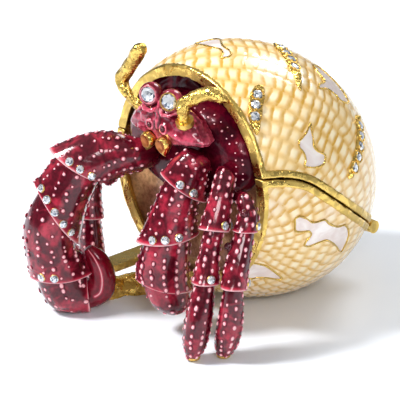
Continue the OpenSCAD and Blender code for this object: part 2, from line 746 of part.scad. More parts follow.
// small crystals sit on the flared ends, at these angles round the limb
module flare_crystals(stations, angles) {
  for (angle = angles) on_flare(stations, angle, 1.6 * limb_crystal_radius)
    translate([0, 0, crystal_gap]) crystal(limb_crystal_radius);
}
module claw_crystals() color("white") {
  flare_crystals(right_claw(right_arm_shares), [75, 100, 125]);
  flare_crystals(right_claw(right_wrist_shares), [50, 75, 100, 125, 150]);
  flare_crystals(right_claw(right_hand_shares), [100, 130]);
  flare_crystals(left_claw(left_arm_shares), [70, 110]);
  flare_crystals(left_claw(left_wrist_shares), [70, 100, 130]);
}
module leg_crystals() color("white") {
  flare_crystals(in_space(front_thigh_shares), [60, 120]);
  flare_crystals(in_space(front_shin_shares), [140]);
  flare_crystals(in_space(back_thigh_shares), [90]);
  flare_crystals(in_space(back_shin_shares), [60]);
}

// flat bar from the right claw back to the shell
brace_z = limb * 0.252;
brace_left_x = -limb * 0.494;
brace_front_y = crab_y - limb * 0.744;
module brace_bar() color("gold") difference() {
  translate([brace_left_x, brace_front_y, brace_z - brace_thickness])
    cube([brace_width, -brace_front_y, brace_thickness]);
  egg();
}

// rocky plinth from the right claw to the shell's belly: place, heading, half width and height
plinth_path_shares = [
  [-0.475, -0.79, 95, 0.045, 0.6], [-0.5, -0.69, 85, 0.07, 1.1], [-0.485, -0.57, 70, 0.085, 0.95],
  [-0.42, -0.46, 50, 0.08, 1.12], [-0.325, -0.375, 35, 0.07, 0.9], [-0.22, -0.315, 30, 0.045, 0.6]
];
// the ridge's section, as shares of the half width and of the height
plinth_section_shares = [
  [-1, 0], [-0.92, 0.34], [-0.55, 0.72], [-0.18, 1], [0.3, 0.9], [0.72, 0.52], [0.95, 0.3], [1, 0]
];
function plinth_ring(row) = [for (spot = plinth_section_shares) [
  limb * (row[0] + row[3] * spot[0] * sin(row[2])),
  crab_y + limb * (row[1] - row[3] * spot[0] * cos(row[2])),
  plinth_height * row[4] * spot[1]
]];
module plinth() color("goldenrod") difference() {
  skin([for (row = plinth_path_shares) plinth_ring(row)]);
  segment(right_claw(right_palm_shares));
  egg(rim_proud);
}

base_shell();
base_rim();
base_mouth_wall();
base_knuckles();
hinge_pin();
base_magnet();
lid_shell();
lid_rim();
lid_mouth_wall();
lid_knuckle();
lid_magnet();
lid_settings();
lid_crystals();
carapace();
head();
left_eye();
right_eye();
eye_crystals();
mouthparts();
left_antenna();
right_antenna();
antenna_collar();
right_claw_arm();
right_claw_wrist();
right_claw_hand();
right_claw_palm();
right_claw_finger();
left_claw_arm();
left_claw_wrist();
left_claw_palm();
left_claw_finger();
left_front_thigh();
left_front_shin();
left_front_foot();
left_back_thigh();
left_back_shin();
left_back_foot();
right_thigh();
right_shin();
right_foot();
claw_crystals();
leg_crystals();
brace_bar();
plinth();
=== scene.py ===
"""Looks for the hinged hermit crab trinket box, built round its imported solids."""

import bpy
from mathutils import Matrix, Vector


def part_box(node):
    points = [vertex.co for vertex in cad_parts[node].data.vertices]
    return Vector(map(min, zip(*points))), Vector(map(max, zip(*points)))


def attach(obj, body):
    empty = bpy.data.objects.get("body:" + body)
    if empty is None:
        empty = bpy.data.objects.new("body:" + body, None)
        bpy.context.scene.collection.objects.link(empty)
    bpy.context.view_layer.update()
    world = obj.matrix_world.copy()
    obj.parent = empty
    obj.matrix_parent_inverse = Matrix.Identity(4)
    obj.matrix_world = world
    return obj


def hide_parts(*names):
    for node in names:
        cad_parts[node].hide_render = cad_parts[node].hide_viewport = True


bl_info = {
    "name": "Hermit crab trinket box",
    "version": (1, 0, 0),
    "blender": (4, 5, 0),
    "location": "View3D > Sidebar > Trinket box",
    "description": "Dresses the packed solids of an enamelled hermit crab box",
    "category": "Object",
}

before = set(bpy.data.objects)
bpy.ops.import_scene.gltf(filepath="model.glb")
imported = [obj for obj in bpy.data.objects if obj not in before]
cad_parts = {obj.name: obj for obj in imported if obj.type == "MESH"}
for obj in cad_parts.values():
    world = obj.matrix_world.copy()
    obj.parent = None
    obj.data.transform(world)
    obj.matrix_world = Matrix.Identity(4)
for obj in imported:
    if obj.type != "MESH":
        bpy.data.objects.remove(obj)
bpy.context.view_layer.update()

import math
import random
from functools import partial

import bmesh
import bpy
from bpy.props import FloatProperty, FloatVectorProperty, IntProperty, PointerProperty
from mathutils import Matrix, Vector, noise

MM = 0.001
UP = Vector((0, 0, 1))
LEFT = Vector((1, 0, 0))


# sizes and colours that a user would change

def size_setting(name, text, millimetres):
    return FloatProperty(name=name, description=text, default=millimetres * MM, unit="LENGTH")


def angle_setting(name, text, radians):
    return FloatProperty(name=name, description=text, default=radians, subtype="ANGLE")


def colour_setting(name, text, *rgb):
    return FloatVectorProperty(
        name=name, description=text, default=rgb + (1,), subtype="COLOR", size=4)


class ShellSizes(bpy.types.PropertyGroup):
    half_width: size_setting("Half width", "Half of the shell's width", 23.8)
    half_length: size_setting("Half length", "Half of the shell's long axis", 28)
    nose_angle: angle_setting("Nose angle", "Tilt of the long axis, nose up", math.radians(40))
    centre_height: size_setting(
        "Centre height", "Height of the shell's centre above the table", 25.019)
    wall: size_setting("Wall", "Thickness of the cast shell", 1.5)
    rim_cover: size_setting("Rim cover", "How far the enamel runs in under the gold rims", 0.5)
    row_height: size_setting(
        "Row height", "Height of the woven relief's rows where they start", 1.55)
    row_growth: angle_setting(
        "Row growth", "Turn from the weave's pole over which the rows double in height", 1.04)
    cell_width: size_setting("Cell width", "Width of one cell of the woven relief", 2.05)
    relief: size_setting("Relief", "Depth of the grooves between the cells", 0.13)
    wire: size_setting("Wire", "Radius of the gold wire round the pale patches", 0.19)


class CrabSizes(bpy.types.PropertyGroup):
    limb: size_setting("Crab size", "Height that the crab's proportions are shares of", 32.019)
    lip: size_setting("Lip", "Thickness of the flared edge of a limb's joint", 0.45)
    bead: size_setting("Bead", "Radius of the raised dots on the limbs", 0.28)
    bead_spacing: size_setting("Bead spacing", "Distance between dots along a row", 1.45)
    sides: IntProperty(
        name="Sides", description="Sides of a limb before it is subdivided",
        default=24, min=12, max=48)


class Finishes(bpy.types.PropertyGroup):
    cream: colour_setting("Cream", "Enamel on the cells of the shell", 0.90, 0.63, 0.28)
    # the ochre also gives the painted shade towards the bottom of the shell
    ochre: colour_setting("Ochre", "Enamel in the grooves of the shell", 0.66, 0.35, 0.045)
    maroon: colour_setting("Maroon", "Deep enamel of the crab", 0.075, 0.001, 0.007)
    rose: colour_setting("Rose", "Thin enamel on the crab's edges", 0.45, 0.02, 0.048)
    blush: colour_setting("Blush", "Palest enamel on lips and dots", 0.88, 0.50, 0.52)
    gold: colour_setting("Gold", "Gold plate", 0.88, 0.60, 0.16)


class StageSettings(bpy.types.PropertyGroup):
    key: FloatProperty(
        name="Key light", description="Power of the large soft light, in watts", default=3.75)
    sky: FloatProperty(
        name="Sky", description="Strength of the light from all round", default=0.4)


def shell():
    return bpy.context.scene.box_shell


def crab():
    return bpy.context.scene.box_crab


def finishes():
    return bpy.context.scene.box_finishes


# places on the shell

MOUTH_Y = -15 * MM
# the seam from the side: level at the mouth, a bend, and an arc down to the hinge's slope
SEAM_HEIGHT = 32.019 * MM
SEAM_BEND_Y = -13.5 * MM
SEAM_BEND_RADIUS = 14 * MM
SEAM_STEEP = math.radians(39)
SEAM_END = math.radians(29)
SEAM_HALF_GAP = 0.15 * MM
HINGE = Vector((0, 23.496 * MM, 9.888 * MM))


def shell_centre():
    return Vector((0, 0, shell().centre_height))


def unit_to_shell():
    """From a unit ball, whose Z runs to the nose, to the shell's outer surface."""
    wide, long = shell().half_width, shell().half_length
    return (Matrix.Translation(shell_centre())
            @ Matrix.Rotation(math.pi / 2 - shell().nose_angle, 4, "X")
            @ Matrix.Diagonal((wide, wide, long, 1)))


def on_shell(longitude, latitude, lift=0.0):
    """Place and outward normal at a longitude from the nose and a latitude, in degrees."""
    lon, lat = math.radians(longitude), math.radians(latitude)
    unit = Vector((math.cos(lat) * math.sin(lon), -math.cos(lat) * math.cos(lon), math.sin(lat)))
    wide, long = shell().half_width, shell().half_length
    place = Vector((unit.x * wide, unit.y * long, unit.z * wide))
    out = Vector((unit.x / wide, unit.y / long, unit.z / wide)).normalized()
    turn = Matrix.Rotation(-shell().nose_angle, 3, "X")
    return shell_centre() + turn @ (place + out * lift), turn @ out


def seam_offset(point):
    """Distance of a point above the seam, seen from the side."""
    run = SEAM_BEND_RADIUS * math.sin(SEAM_STEEP)
    tail = (HINGE.y - SEAM_BEND_Y - run) / (math.sin(SEAM_STEEP) - math.sin(SEAM_END))
    y = point.y
    if y < SEAM_BEND_Y:
        height, slope = SEAM_HEIGHT, 0.0
    elif y < SEAM_BEND_Y + run:
        slope = math.asin((y - SEAM_BEND_Y) / SEAM_BEND_RADIUS)
        height = SEAM_HEIGHT - SEAM_BEND_RADIUS * (1 - math.cos(slope))
    elif y < HINGE.y:
        slope = math.asin(math.sin(SEAM_END) + (HINGE.y - y) / tail)
        height = HINGE.z + tail * (math.cos(SEAM_END) - math.cos(slope))
    else:
        slope = SEAM_END
        height = HINGE.z - (y - HINGE.y) * math.tan(SEAM_END)
    return (point.z - height) * math.cos(slope)


# the woven relief of the shell, and the smooth pale patches in it

WEAVE_POLE = Vector((0.655, -0.725, -0.21)).normalized()
WEAVE_SIDE = WEAVE_POLE.cross(UP).normalized()
WEAVE_TOP = WEAVE_SIDE.cross(WEAVE_POLE)
ROW_SHIFT = 0.37
# how far the rows wander, as a share of the shell's radius, and how often
WANDER_SHARE = 0.035
WANDERS = 3.6
# width over which the relief fades out round a patch, and the patch's depth as a share of its
PATCH_EDGE = 0.5 * MM
PATCH_DEPTH_SHARE = 0.6
# how far from a patch's outline its distance still matters, and the most that is measured
PATCH_MARGIN = 2 * MM
FAR_FROM_PATCHES = 3 * MM
# how straight the lines between a patch's points are: 0 is a smooth curve, 1 is straight
CORNERS = 0.3
# outlines of the patches: longitudes from the nose and latitudes, in degrees
PATCHES = {
    "lid": (
        ((-24.7, 38.4), (-29.9, 42.3), (-26, 48), (-14.8, 47.5), (-0.5, 41.5), (6.3, 40),
         (10.3, 37.8), (11, 35.1), (8.4, 33.1), (6.2, 36.4), (1.4, 38.5), (-6.6, 38.1)),
        ((58.1, 65.7), (62.3, 59.2), (68.1, 54.5), (63, 48.7), (63.2, 45.7), (69.8, 49.3),
         (76.7, 49), (81.9, 47.8), (92, 52), (86, 62), (70, 69)),
        ((62.7, 23.6), (64.3, 20.8), (66, 18.3), (67.9, 14.8), (70.2, 13.8), (74.3, 14.2),
         (75.4, 10.4), (72.3, 6.8), (67.8, 4.6), (67, 7.3), (65, 9.5), (62.1, 10.7), (61.1, 13.1),
         (61.8, 15.1), (62.6, 18.7)),
        ((150, 52), (163, 60), (178, 50), (171, 38), (180, 27), (164, 31), (155, 40)),
        ((-84, 29), (-76, 34), (-69, 41), (-62, 40), (-64, 33), (-56, 29), (-61, 22), (-59, 14),
         (-67, 13), (-71, 22)),
    ),
    "base": (
        ((77.4, -18.4), (76.3, -16.7), (77.5, -14.8), (81, -14), (84.3, -14), (86.7, -12.3),
         (89.3, -9.7), (93.3, -9.9), (98.6, -8.5), (102.1, -5.8), (106.9, -6.3), (111, -9),
         (115.2, -15.6), (106.9, -15.4), (101.5, -15.6), (97.9, -16.5), (95, -19.6),
         (92.4, -23.3), (89.9, -24.2), (88.8, -22.3), (88.5, -18.6), (86.1, -18), (80.7, -21.3)),
        ((75, -47.2), (80.2, -44.4), (84.8, -42.9), (91.4, -42.9), (101.8, -43), (101.6, -44.9),
         (95.7, -47.6), (91.1, -50.7), (89.2, -54.5), (80, -56), (72, -51)),
        ((-100, -16), (-90, -8), (-78, -12), (-84, -22), (-80, -32), (-94, -26)),
        ((160, -12), (172, -6), (186, -12), (182, -24), (170, -20)),
    ),
}


def shell_radius():
    return (2 * shell().half_width + shell().half_length) / 3


def row_rate():
    """Rows for each unit of the logarithm that spreads them."""
    return shell_radius() * shell().row_growth / shell().row_height


def cells_round():
    """Cells in a row half way between the weave's poles."""
    return 2 * math.pi * shell_radius() / shell().cell_width


def weave(place):
    """Rows out from the weave's pole, and the share of a turn round it, a little uneven."""
    local = (place - shell_centre()).normalized()
    spot = (local + noise.noise_vector(local * WANDERS) * WANDER_SHARE).normalized()
    turn = math.acos(max(-1.0, min(1.0, spot.dot(WEAVE_POLE))))
    rows = row_rate() * math.log(1 + turn / shell().row_growth)
    return rows, math.atan2(spot.dot(WEAVE_SIDE), spot.dot(WEAVE_TOP)) / (2 * math.pi) + 0.5


def pillow(rows, share):
    """Height of the relief in its cell, from 0 in the grooves to 1 in the middle."""
    row = math.floor(rows)
    turn = shell().row_growth * (math.exp((row + 0.5) / row_rate()) - 1)
    count = max(6, round(math.sin(turn) * cells_round()))
    across, along = rows - row, (share * count + row * ROW_SHIFT) % 1.0
    return (1 - abs(2 * across - 1) ** 5) * (1 - abs(2 * along - 1) ** 3)


def curve_through(a, b, c, d, t):
    """One coordinate of a smooth run between b and c."""
    return 0.5 * (2 * b + (c - a) * t + (2 * a - 5 * b + 4 * c - d) * t * t
                  + (3 * b - a - 3 * c + d) * t ** 3)


def outline(points, steps=5):
    """Longitudes and latitudes of a closed line through the given ones, part smooth."""
    count = len(points)
    line = []
    for i in range(count):
        near = [points[(i + k) % count] for k in (-1, 0, 1, 2)]
        for j in range(steps):
            t = j / steps
            line.append(tuple(
                CORNERS * (values[1] + (values[2] - values[1]) * t)
                + (1 - CORNERS) * curve_through(*values, t) for values in zip(*near)))
    return line


def flat_shape(points):
    """A patch's middle, the frame it is drawn flat in, its reach, and its flat outline."""
    spots = [on_shell(*point)[0] for point in outline(points)]
    middle = sum(spots, Vector()) / len(spots)
    out = on_shell(*(sum(values) / len(values) for values in zip(*points)))[1]
    to_flat = stand(middle, out).inverted()
    reach = max((spot - middle).length for spot in spots) + PATCH_MARGIN
    return middle, to_flat, reach, [(to_flat @ spot).to_2d() for spot in spots]


def patch_distance(place, shapes):
    """Distance of a place outside the nearest patch, and less than 0 inside one."""
    nearest = FAR_FROM_PATCHES
    for middle, to_flat, reach, line in shapes:
        if (place - middle).length > reach:
            continue
        x, y = (to_flat @ place).to_2d()
        inside, away = False, reach
        for (ax, ay), (bx, by) in zip(line, line[1:] + line[:1]):
            if (ay > y) != (by > y) and x < (bx - ax) * (y - ay) / (by - ay) + ax:
                inside = not inside
            run = (bx - ax) ** 2 + (by - ay) ** 2 or 1e-12
            t = max(0.0, min(1.0, ((x - ax) * (bx - ax) + (y - ay) * (by - ay)) / run))
            away = min(away, math.hypot(ax + t * (bx - ax) - x, ay + t * (by - ay) - y))
        nearest = min(nearest, -away if inside else away)
    return nearest


# mesh helpers

# places nearer than this are one
MERGE = 0.002 * MM

# every finish by its key
PAINTS = {}


def piece(name, bm, body, slot, *paints, stands_for=None, sharp=None):
    """A finished piece at the origin that rides on a body and may stand for a CAD node."""
    mesh = bpy.data.meshes.new(name)
    bm.to_mesh(mesh)
    bm.free()
    mesh.polygons.foreach_set("use_smooth", [True] * len(mesh.polygons))
    if sharp is not None:
        mesh.set_sharp_from_angle(angle=math.radians(sharp))
    obj = bpy.data.objects.new(name, mesh)
    bpy.context.scene.collection.objects.link(obj)
    for paint in paints:
        mesh.materials.append(PAINTS[paint])
    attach(obj, body)
    if stands_for:
        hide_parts(stands_for)
    return obj


def cad_copy(node):
    """The merged mesh of a CAD node."""
    bm = bmesh.new()
    bm.from_mesh(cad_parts[node].data)
    bmesh.ops.remove_doubles(bm, verts=bm.verts, dist=MERGE)
    return bm


def remeshed(bm, voxel, rounds):
    """One even skin over a mesh, smoothed a number of times."""
    mesh = bpy.data.meshes.new("work")
    bm.to_mesh(mesh)
    bm.free()
    work = bpy.data.objects.new("work", mesh)
    bpy.context.scene.collection.objects.link(work)
    modifier = work.modifiers.new("remesh", "REMESH")
    modifier.mode = "VOXEL"
    modifier.voxel_size = voxel
    modifier.adaptivity = 0
    depsgraph = bpy.context.evaluated_depsgraph_get()
    made = bpy.data.meshes.new_from_object(work.evaluated_get(depsgraph))
    bm = bmesh.new()
    bm.from_mesh(made)
    bpy.data.objects.remove(work)
    bpy.data.meshes.remove(mesh)
    bpy.data.meshes.remove(made)
    for _ in range(rounds):
        bmesh.ops.smooth_vert(
            bm, verts=bm.verts, factor=0.5, use_axis_x=True, use_axis_y=True, use_axis_z=True)
    bm.normal_update()
    return bm


def uneven(bm, depth, scale, seed):
    """Moves the vertices in and out by soft noise, as a hand-finished casting."""
    bm.normal_update()
    for vert in bm.verts:
        spot = vert.co * scale + Vector((seed, seed, seed))
        vert.co += vert.normal * depth * noise.fractal(spot, 1.0, 2.0, 3)


def keep_above(bm, height):
    for vert in bm.verts:
        vert.co.z = max(vert.co.z, height)


def cut_flat(bm, place, normal, close=True):
    """Cuts off what lies beyond a plane, and closes the cut."""
    made = bmesh.ops.bisect_plane(
        bm, geom=bm.verts[:] + bm.edges[:] + bm.faces[:], plane_co=place, plane_no=normal,
        clear_outer=True)["geom_cut"]
    if close:
        bmesh.ops.edgeloop_fill(bm, edges=[e for e in made if isinstance(e, bmesh.types.BMEdge)])


def join(bm, other, matrix):
    """Adds a small mesh to a larger one, and frees it."""
    other.transform(matrix)
    mesh = bpy.data.meshes.new("work")
    other.to_mesh(mesh)
    other.free()
    bm.from_mesh(mesh)
    bpy.data.meshes.remove(mesh)


def add_ball(bm, matrix, radius, sides, rings):
    ball = bmesh.new()
    bmesh.ops.create_uvsphere(ball, u_segments=sides, v_segments=rings, radius=radius)
    join(bm, ball, matrix)


def lathe(profile, steps):
    """A round shape about Z from (radius, height) pairs."""
    bm = bmesh.new()
    verts = [bm.verts.new((radius, 0, height)) for radius, height in profile]
    edges = [bm.edges.new(pair) for pair in zip(verts, verts[1:])]
    bmesh.ops.spin(
        bm, geom=verts + edges, cent=(0, 0, 0), axis=(0, 0, 1), dvec=(0, 0, 0),
        angle=2 * math.pi, steps=steps, use_merge=True)
    bmesh.ops.remove_doubles(bm, verts=bm.verts, dist=MERGE)
    bmesh.ops.recalc_face_normals(bm, faces=bm.faces)
    return bm


def bezel(profile, radius, steps):
    """A ring round a stone, from shares of the stone's radius and heights in millimetres."""
    return lathe([(share * radius, height * MM) for share, height in profile], steps)


def stand(place, out, side=None):
    """A frame at a place with Z outward."""
    out = out.normalized()
    side = side or (LEFT if abs(out.x) < 0.9 else Vector((0, 1, 0)))
    x = (side - out * side.dot(out)).normalized()
    y = out.cross(x)
    return Matrix.Translation(place) @ Matrix((x, y, out)).transposed().to_4x4()


def ring_loop(bm, matrix, sides, grow=None):
    """One ring, made as a unit circle and then set in place: its vertices and edges."""
    made = bmesh.ops.create_circle(bm, cap_ends=False, segments=sides, radius=1.0)["verts"]
    if grow:
        for vert in made:
            vert.co *= grow(math.atan2(vert.co.y, vert.co.x))
    bmesh.ops.transform(bm, matrix=matrix, verts=made)
    return made, list({edge for vert in made for edge in vert.link_edges})


def ring_matrix(centre, depth, across):
    return Matrix.Translation(centre) @ Matrix(
        (depth, across, depth.cross(across))).transposed().to_4x4()


def bridge(bm, loops):
    """Skins a run of rings."""
    for near, away in zip(loops, loops[1:]):
        bmesh.ops.bridge_loops(bm, edges=near + away)


# shader helpers

def feed(tree, node, inputs):
    """Sets a node's inputs to values, or links them to other nodes' outputs."""
    for key, value in inputs.items():
        if isinstance(value, bpy.types.NodeSocket):
            tree.links.new(value, node.inputs[key])
        else:
            node.inputs[key].default_value = value


def add(tree, kind, inputs, **settings):
    made = tree.nodes.new(kind)
    for key, value in settings.items():
        setattr(made, key, value)
    feed(tree, made, inputs)
    return made


def calc(tree, operation, *values):
    return add(tree, "ShaderNodeMath", dict(enumerate(values)), operation=operation).outputs[0]


def blend(tree, share, first, second, kind="MIX"):
    return add(
        tree, "ShaderNodeMix", {0: share, 6: first, 7: second},
        data_type="RGBA", blend_type=kind).outputs[2]


def ramp(tree, value, low, high):
    """0 at low, 1 at high, and smooth between."""
    return add(
        tree, "ShaderNodeMapRange", {"Value": value, "From Min": low, "From Max": high},
        interpolation_type="SMOOTHSTEP").outputs[0]


def cloud(tree, spot, scale, detail=3.0, distortion=0.0):
    return add(
        tree, "ShaderNodeTexNoise",
        {"Vector": spot, "Scale": scale, "Detail": detail, "Distortion": distortion}).outputs[0]


def read(tree, name):
    return add(tree, "ShaderNodeAttribute", {}, attribute_name=name).outputs["Fac"]


def upward(tree, spot):
    return add(tree, "ShaderNodeSeparateXYZ", {0: spot}).outputs["Z"]


def bump(tree, shader, height, depth):
    made = add(tree, "ShaderNodeBump", {"Height": height, "Distance": depth, "Strength": 1.0})
    feed(tree, shader, {"Normal": made.outputs[0]})


def shared(tree, name, inputs):
    """One of the shared groups, placed in a material."""
    return add(tree, "ShaderNodeGroup", inputs, node_tree=bpy.data.node_groups[name]).outputs


def group(name, inputs, outputs):
    """An empty shader node group: its tree, what it is given, and where its results go."""
    tree = bpy.data.node_groups.new(name, "ShaderNodeTree")
    for socket, default in inputs.items():
        kind = {float: "Float", tuple: "Color"}.get(type(default), "Vector")
        made = tree.interface.new_socket(socket, in_out="INPUT", socket_type="NodeSocket" + kind)
        if default is not None:
            made.default_value = default
    for socket in outputs:
        kind = "Color" if socket == "Color" else "Float"
        tree.interface.new_socket(socket, in_out="OUTPUT", socket_type="NodeSocket" + kind)
    return tree, tree.nodes.new("NodeGroupInput").outputs, tree.nodes.new("NodeGroupOutput")


def cast_grain_group():
    """The pitted, softly uneven surface of cast metal."""
    tree, given, out = group(
        "cast_grain", {"Coordinates": None, "Coarse": 400.0, "Fine": 2200.0, "Pits": 0.4},
        ("Height", "Dirt"))
    coarse = cloud(tree, given["Coordinates"], given["Coarse"], 4.0, 0.6)
    fine = cloud(tree, given["Coordinates"], given["Fine"])
    cells = add(
        tree, "ShaderNodeTexVoronoi",
        {"Vector": given["Coordinates"], "Scale": given["Fine"]}, feature="F1").outputs["Distance"]
    pits = calc(tree, "MULTIPLY", ramp(tree, cells, 0.35, 0.0), given["Pits"])
    height = calc(tree, "MULTIPLY_ADD", fine, 0.3, coarse)
    feed(tree, out, {
        "Height": calc(tree, "SUBTRACT", height, pits),
        "Dirt": ramp(tree, coarse, 0.62, 0.38)})


def enamel_depth_group():
    """Enamel that is dark where it is thick, rosy where it is thin, palest on edges, and given a
    near-black painted shade in hollows, where Edge is below 0.
    """
    tree, given, out = group(
        "enamel_depth",
        {"Coordinates": None, "Thick": (0.1, 0, 0.01, 1), "Thin": (0.6, 0.1, 0.2, 1),
         "Palest": (0.9, 0.4, 0.5, 1), "Edge": 0.0, "Patches": 260.0, "Spread": 0.5},
        ("Color", "Roughness", "Height"))
    patches = cloud(tree, given["Coordinates"], given["Patches"], 2.5, 0.9)
    fine = cloud(tree, given["Coordinates"], 1500.0, 2.0)
    thin = calc(tree, "MULTIPLY", ramp(tree, patches, 0.43, 0.68), given["Spread"])
    thin = calc(tree, "MAXIMUM", thin, ramp(tree, given["Edge"], 0.0, 0.55))
    color = blend(tree, thin, given["Thick"], given["Thin"])
    dark = blend(tree, ramp(tree, fine, 0.35, 0.6), (0.72, 0.72, 0.72, 1), (1.1, 1.1, 1.1, 1))
    color = blend(tree, 1.0, color, dark, "MULTIPLY")
    color = blend(tree, ramp(tree, given["Edge"], 0.5, 1.0), color, given["Palest"])
    # painted shade: hollows, where Edge is below 0, darken to under half the thick colour
    painted_hollow_shade = blend(tree, 1.0, given["Thick"], (0.45, 0.45, 0.45, 1), "MULTIPLY")
    color = blend(tree, ramp(tree, given["Edge"], -0.04, -0.5), color, painted_hollow_shade)
    feed(tree, out, {
        "Color": color,
        "Roughness": calc(tree, "MULTIPLY_ADD", fine, 0.2, 0.07),
        "Height": calc(tree, "MULTIPLY_ADD", fine, 0.15, patches)})


def woven_cells_group():
    """Cells of the woven relief: the strokes of thick enamel beside them, and each one's tint."""
    tree, given, out = group(
        "woven_cells",
        {"Rows": 0.0, "Share": 0.0, "Growth": 1.0, "Rate": 16.0, "Cells round": 77.0,
         "Wander": 0.0},
        ("Stroke", "Line", "Heart", "Tint"))
    rows = calc(tree, "MULTIPLY_ADD", given["Wander"], 0.5, given["Rows"])
    row = calc(tree, "FLOOR", rows)
    across = calc(tree, "FRACT", rows)
    turn = calc(tree, "EXPONENT", calc(
        tree, "DIVIDE", calc(tree, "ADD", row, 0.5), given["Rate"]))
    turn = calc(tree, "MULTIPLY", calc(tree, "SUBTRACT", turn, 1.0), given["Growth"])
    count = calc(tree, "MULTIPLY", calc(tree, "SINE", turn), given["Cells round"])
    count = calc(tree, "MAXIMUM", calc(tree, "ROUND", count), 6.0)
    columns = calc(tree, "MULTIPLY", given["Share"], count)
    columns = calc(tree, "ADD", columns, calc(tree, "MULTIPLY", row, ROW_SHIFT))
    columns = calc(tree, "ADD", columns, given["Wander"])
    along = calc(tree, "FRACT", columns)
    cell = add(
        tree, "ShaderNodeCombineXYZ",
        {"X": calc(tree, "FLOOR", columns), "Y": row}).outputs[0]
    side = calc(tree, "ADD", ramp(tree, along, 0.52, 0.04), calc(
        tree, "MULTIPLY", ramp(tree, along, 0.88, 1.0), 0.8))
    edge = calc(tree, "MINIMUM", across, calc(tree, "SUBTRACT", 1.0, across))
    heart = calc(tree, "MULTIPLY", ramp(tree, edge, 0.1, 0.4), calc(
        tree, "SUBTRACT", 1.0, side))
    feed(tree, out, {
        "Stroke": calc(tree, "MINIMUM", side, 1.0),
        "Line": ramp(tree, edge, 0.2, 0.02),
        "Heart": heart,
        "Tint": add(tree, "ShaderNodeTexWhiteNoise", {"Vector": cell}).outputs["Value"]})


# finishes

def new_paint(key, name):
    """A new material under its key: its tree, its shader and the place on the object."""
    made = bpy.data.materials.new(name)
    made.use_nodes = True
    PAINTS[key] = made
    spot = add(made.node_tree, "ShaderNodeTexCoord", {}).outputs["Object"]
    return made.node_tree, made.node_tree.nodes["Principled BSDF"], spot


def metal(key, name, bright, dull, roughness, stain, depth, coarse, pits, filled=None):
    """Cast metal, with enamel where the attribute named by filled is high."""
    tree, shader, spot = new_paint(key, name)
    grain = shared(tree, "cast_grain", {"Coordinates": spot, "Coarse": coarse, "Pits": pits})
    color = blend(tree, grain["Dirt"], bright, dull)
    metallic = 1.0
    if filled:
        mask = ramp(tree, read(tree, filled), 0.3, 0.7)
        color = blend(tree, mask, color, (0.42, 0.13, 0.035, 1))
        metallic = calc(tree, "MULTIPLY_ADD", mask, -0.4, 1.0)
    feed(tree, shader, {
        "Base Color": color, "Metallic": metallic,
        "Roughness": calc(tree, "MULTIPLY_ADD", grain["Dirt"], stain, roughness)})
    bump(tree, shader, grain["Height"], depth * MM)


def enamel(key, name, thick, thin, patches, spread, edge, coat, depth, gloss=0.4):
    """Enamel whose edges, if it has any, are where the attribute named by edge is high."""
    tree, shader, spot = new_paint(key, name)
    made = shared(tree, "enamel_depth", {
        "Coordinates": spot, "Thick": thick, "Thin": thin, "Palest": tuple(finishes().blush),
        "Patches": patches, "Spread": spread, "Edge": read(tree, edge) if edge else 0.0})
    feed(tree, shader, {
        "Base Color": made["Color"], "Roughness": made["Roughness"],
        "Coat Weight": coat, "Coat Roughness": 0.07,
        "Specular IOR Level": gloss, "Specular Tint": (1.0, 0.74, 0.78, 1)})
    bump(tree, shader, made["Height"], depth * MM)


def shell_enamel():
    """Cream enamel with ochre strokes between its cells, the pale patches, a painted pinkish sheen in
    soft patches, and painted shade in ochre towards the bottom.
    """
    tree, shader, spot = new_paint("shell", "woven_cream_enamel")
    wander = calc(tree, "SUBTRACT", cloud(tree, spot, 330.0, 2.0, 0.2), 0.5)
    cells = shared(tree, "woven_cells", {
        "Rows": read(tree, "rows"), "Share": read(tree, "share"),
        "Growth": shell().row_growth, "Rate": row_rate(), "Cells round": cells_round(),
        "Wander": calc(tree, "MULTIPLY", wander, 0.6)})
    cream, ochre = tuple(finishes().cream), tuple(finishes().ochre)
    strokes = cloud(tree, spot, 900.0, 3.0, 0.5)
    amount = calc(tree, "MULTIPLY_ADD", cloud(tree, spot, 75.0, 2.0), 2.6, -0.45)
    amount = calc(tree, "MULTIPLY", amount, calc(
        tree, "MULTIPLY_ADD", cells["Tint"], 0.5, 0.7))
    stroke = calc(tree, "MULTIPLY", cells["Stroke"], calc(
        tree, "MULTIPLY_ADD", strokes, 1.9, 0.1))
    line = calc(tree, "MULTIPLY", cells["Line"], 0.5)
    thick = calc(tree, "MULTIPLY", calc(tree, "MAXIMUM", stroke, line), amount)
    heart = calc(tree, "MULTIPLY", cells["Heart"], calc(
        tree, "MULTIPLY_ADD", cells["Tint"], 0.6, 0.4))
    color = blend(tree, heart, cream, (1.0, 0.86, 0.58, 1))
    # painted sheen: soft patches blended towards pinkish white, standing in for reflected light
    painted_sheen = ramp(tree, cloud(tree, spot, 120.0, 1.0), 0.56, 0.72)
    color = blend(tree, calc(tree, "MULTIPLY", painted_sheen, 0.45), color, (0.96, 0.83, 0.74, 1))
    # painted shade: the colour turns towards ochre below 22 mm, strongest near the table
    low = calc(tree, "MULTIPLY", ramp(tree, upward(tree, spot), 22 * MM, 1 * MM), 0.3)
    color = blend(tree, calc(tree, "MAXIMUM", thick, low), color, ochre)
    veil = cloud(tree, spot, 260.0, 3.0, 1.0)
    pale = blend(tree, ramp(tree, veil, 0.35, 0.7), (0.80, 0.66, 0.60, 1), (0.95, 0.87, 0.82, 1))
    inside = ramp(tree, read(tree, "patch"), 0.08, -0.1)
    feed(tree, shader, {
        "Base Color": blend(tree, inside, color, pale),
        "Roughness": calc(tree, "MULTIPLY_ADD", strokes, 0.18, 0.14),
        "Coat Weight": 0.45, "Coat Roughness": 0.05})
    bump(tree, shader, strokes, 0.05 * MM)


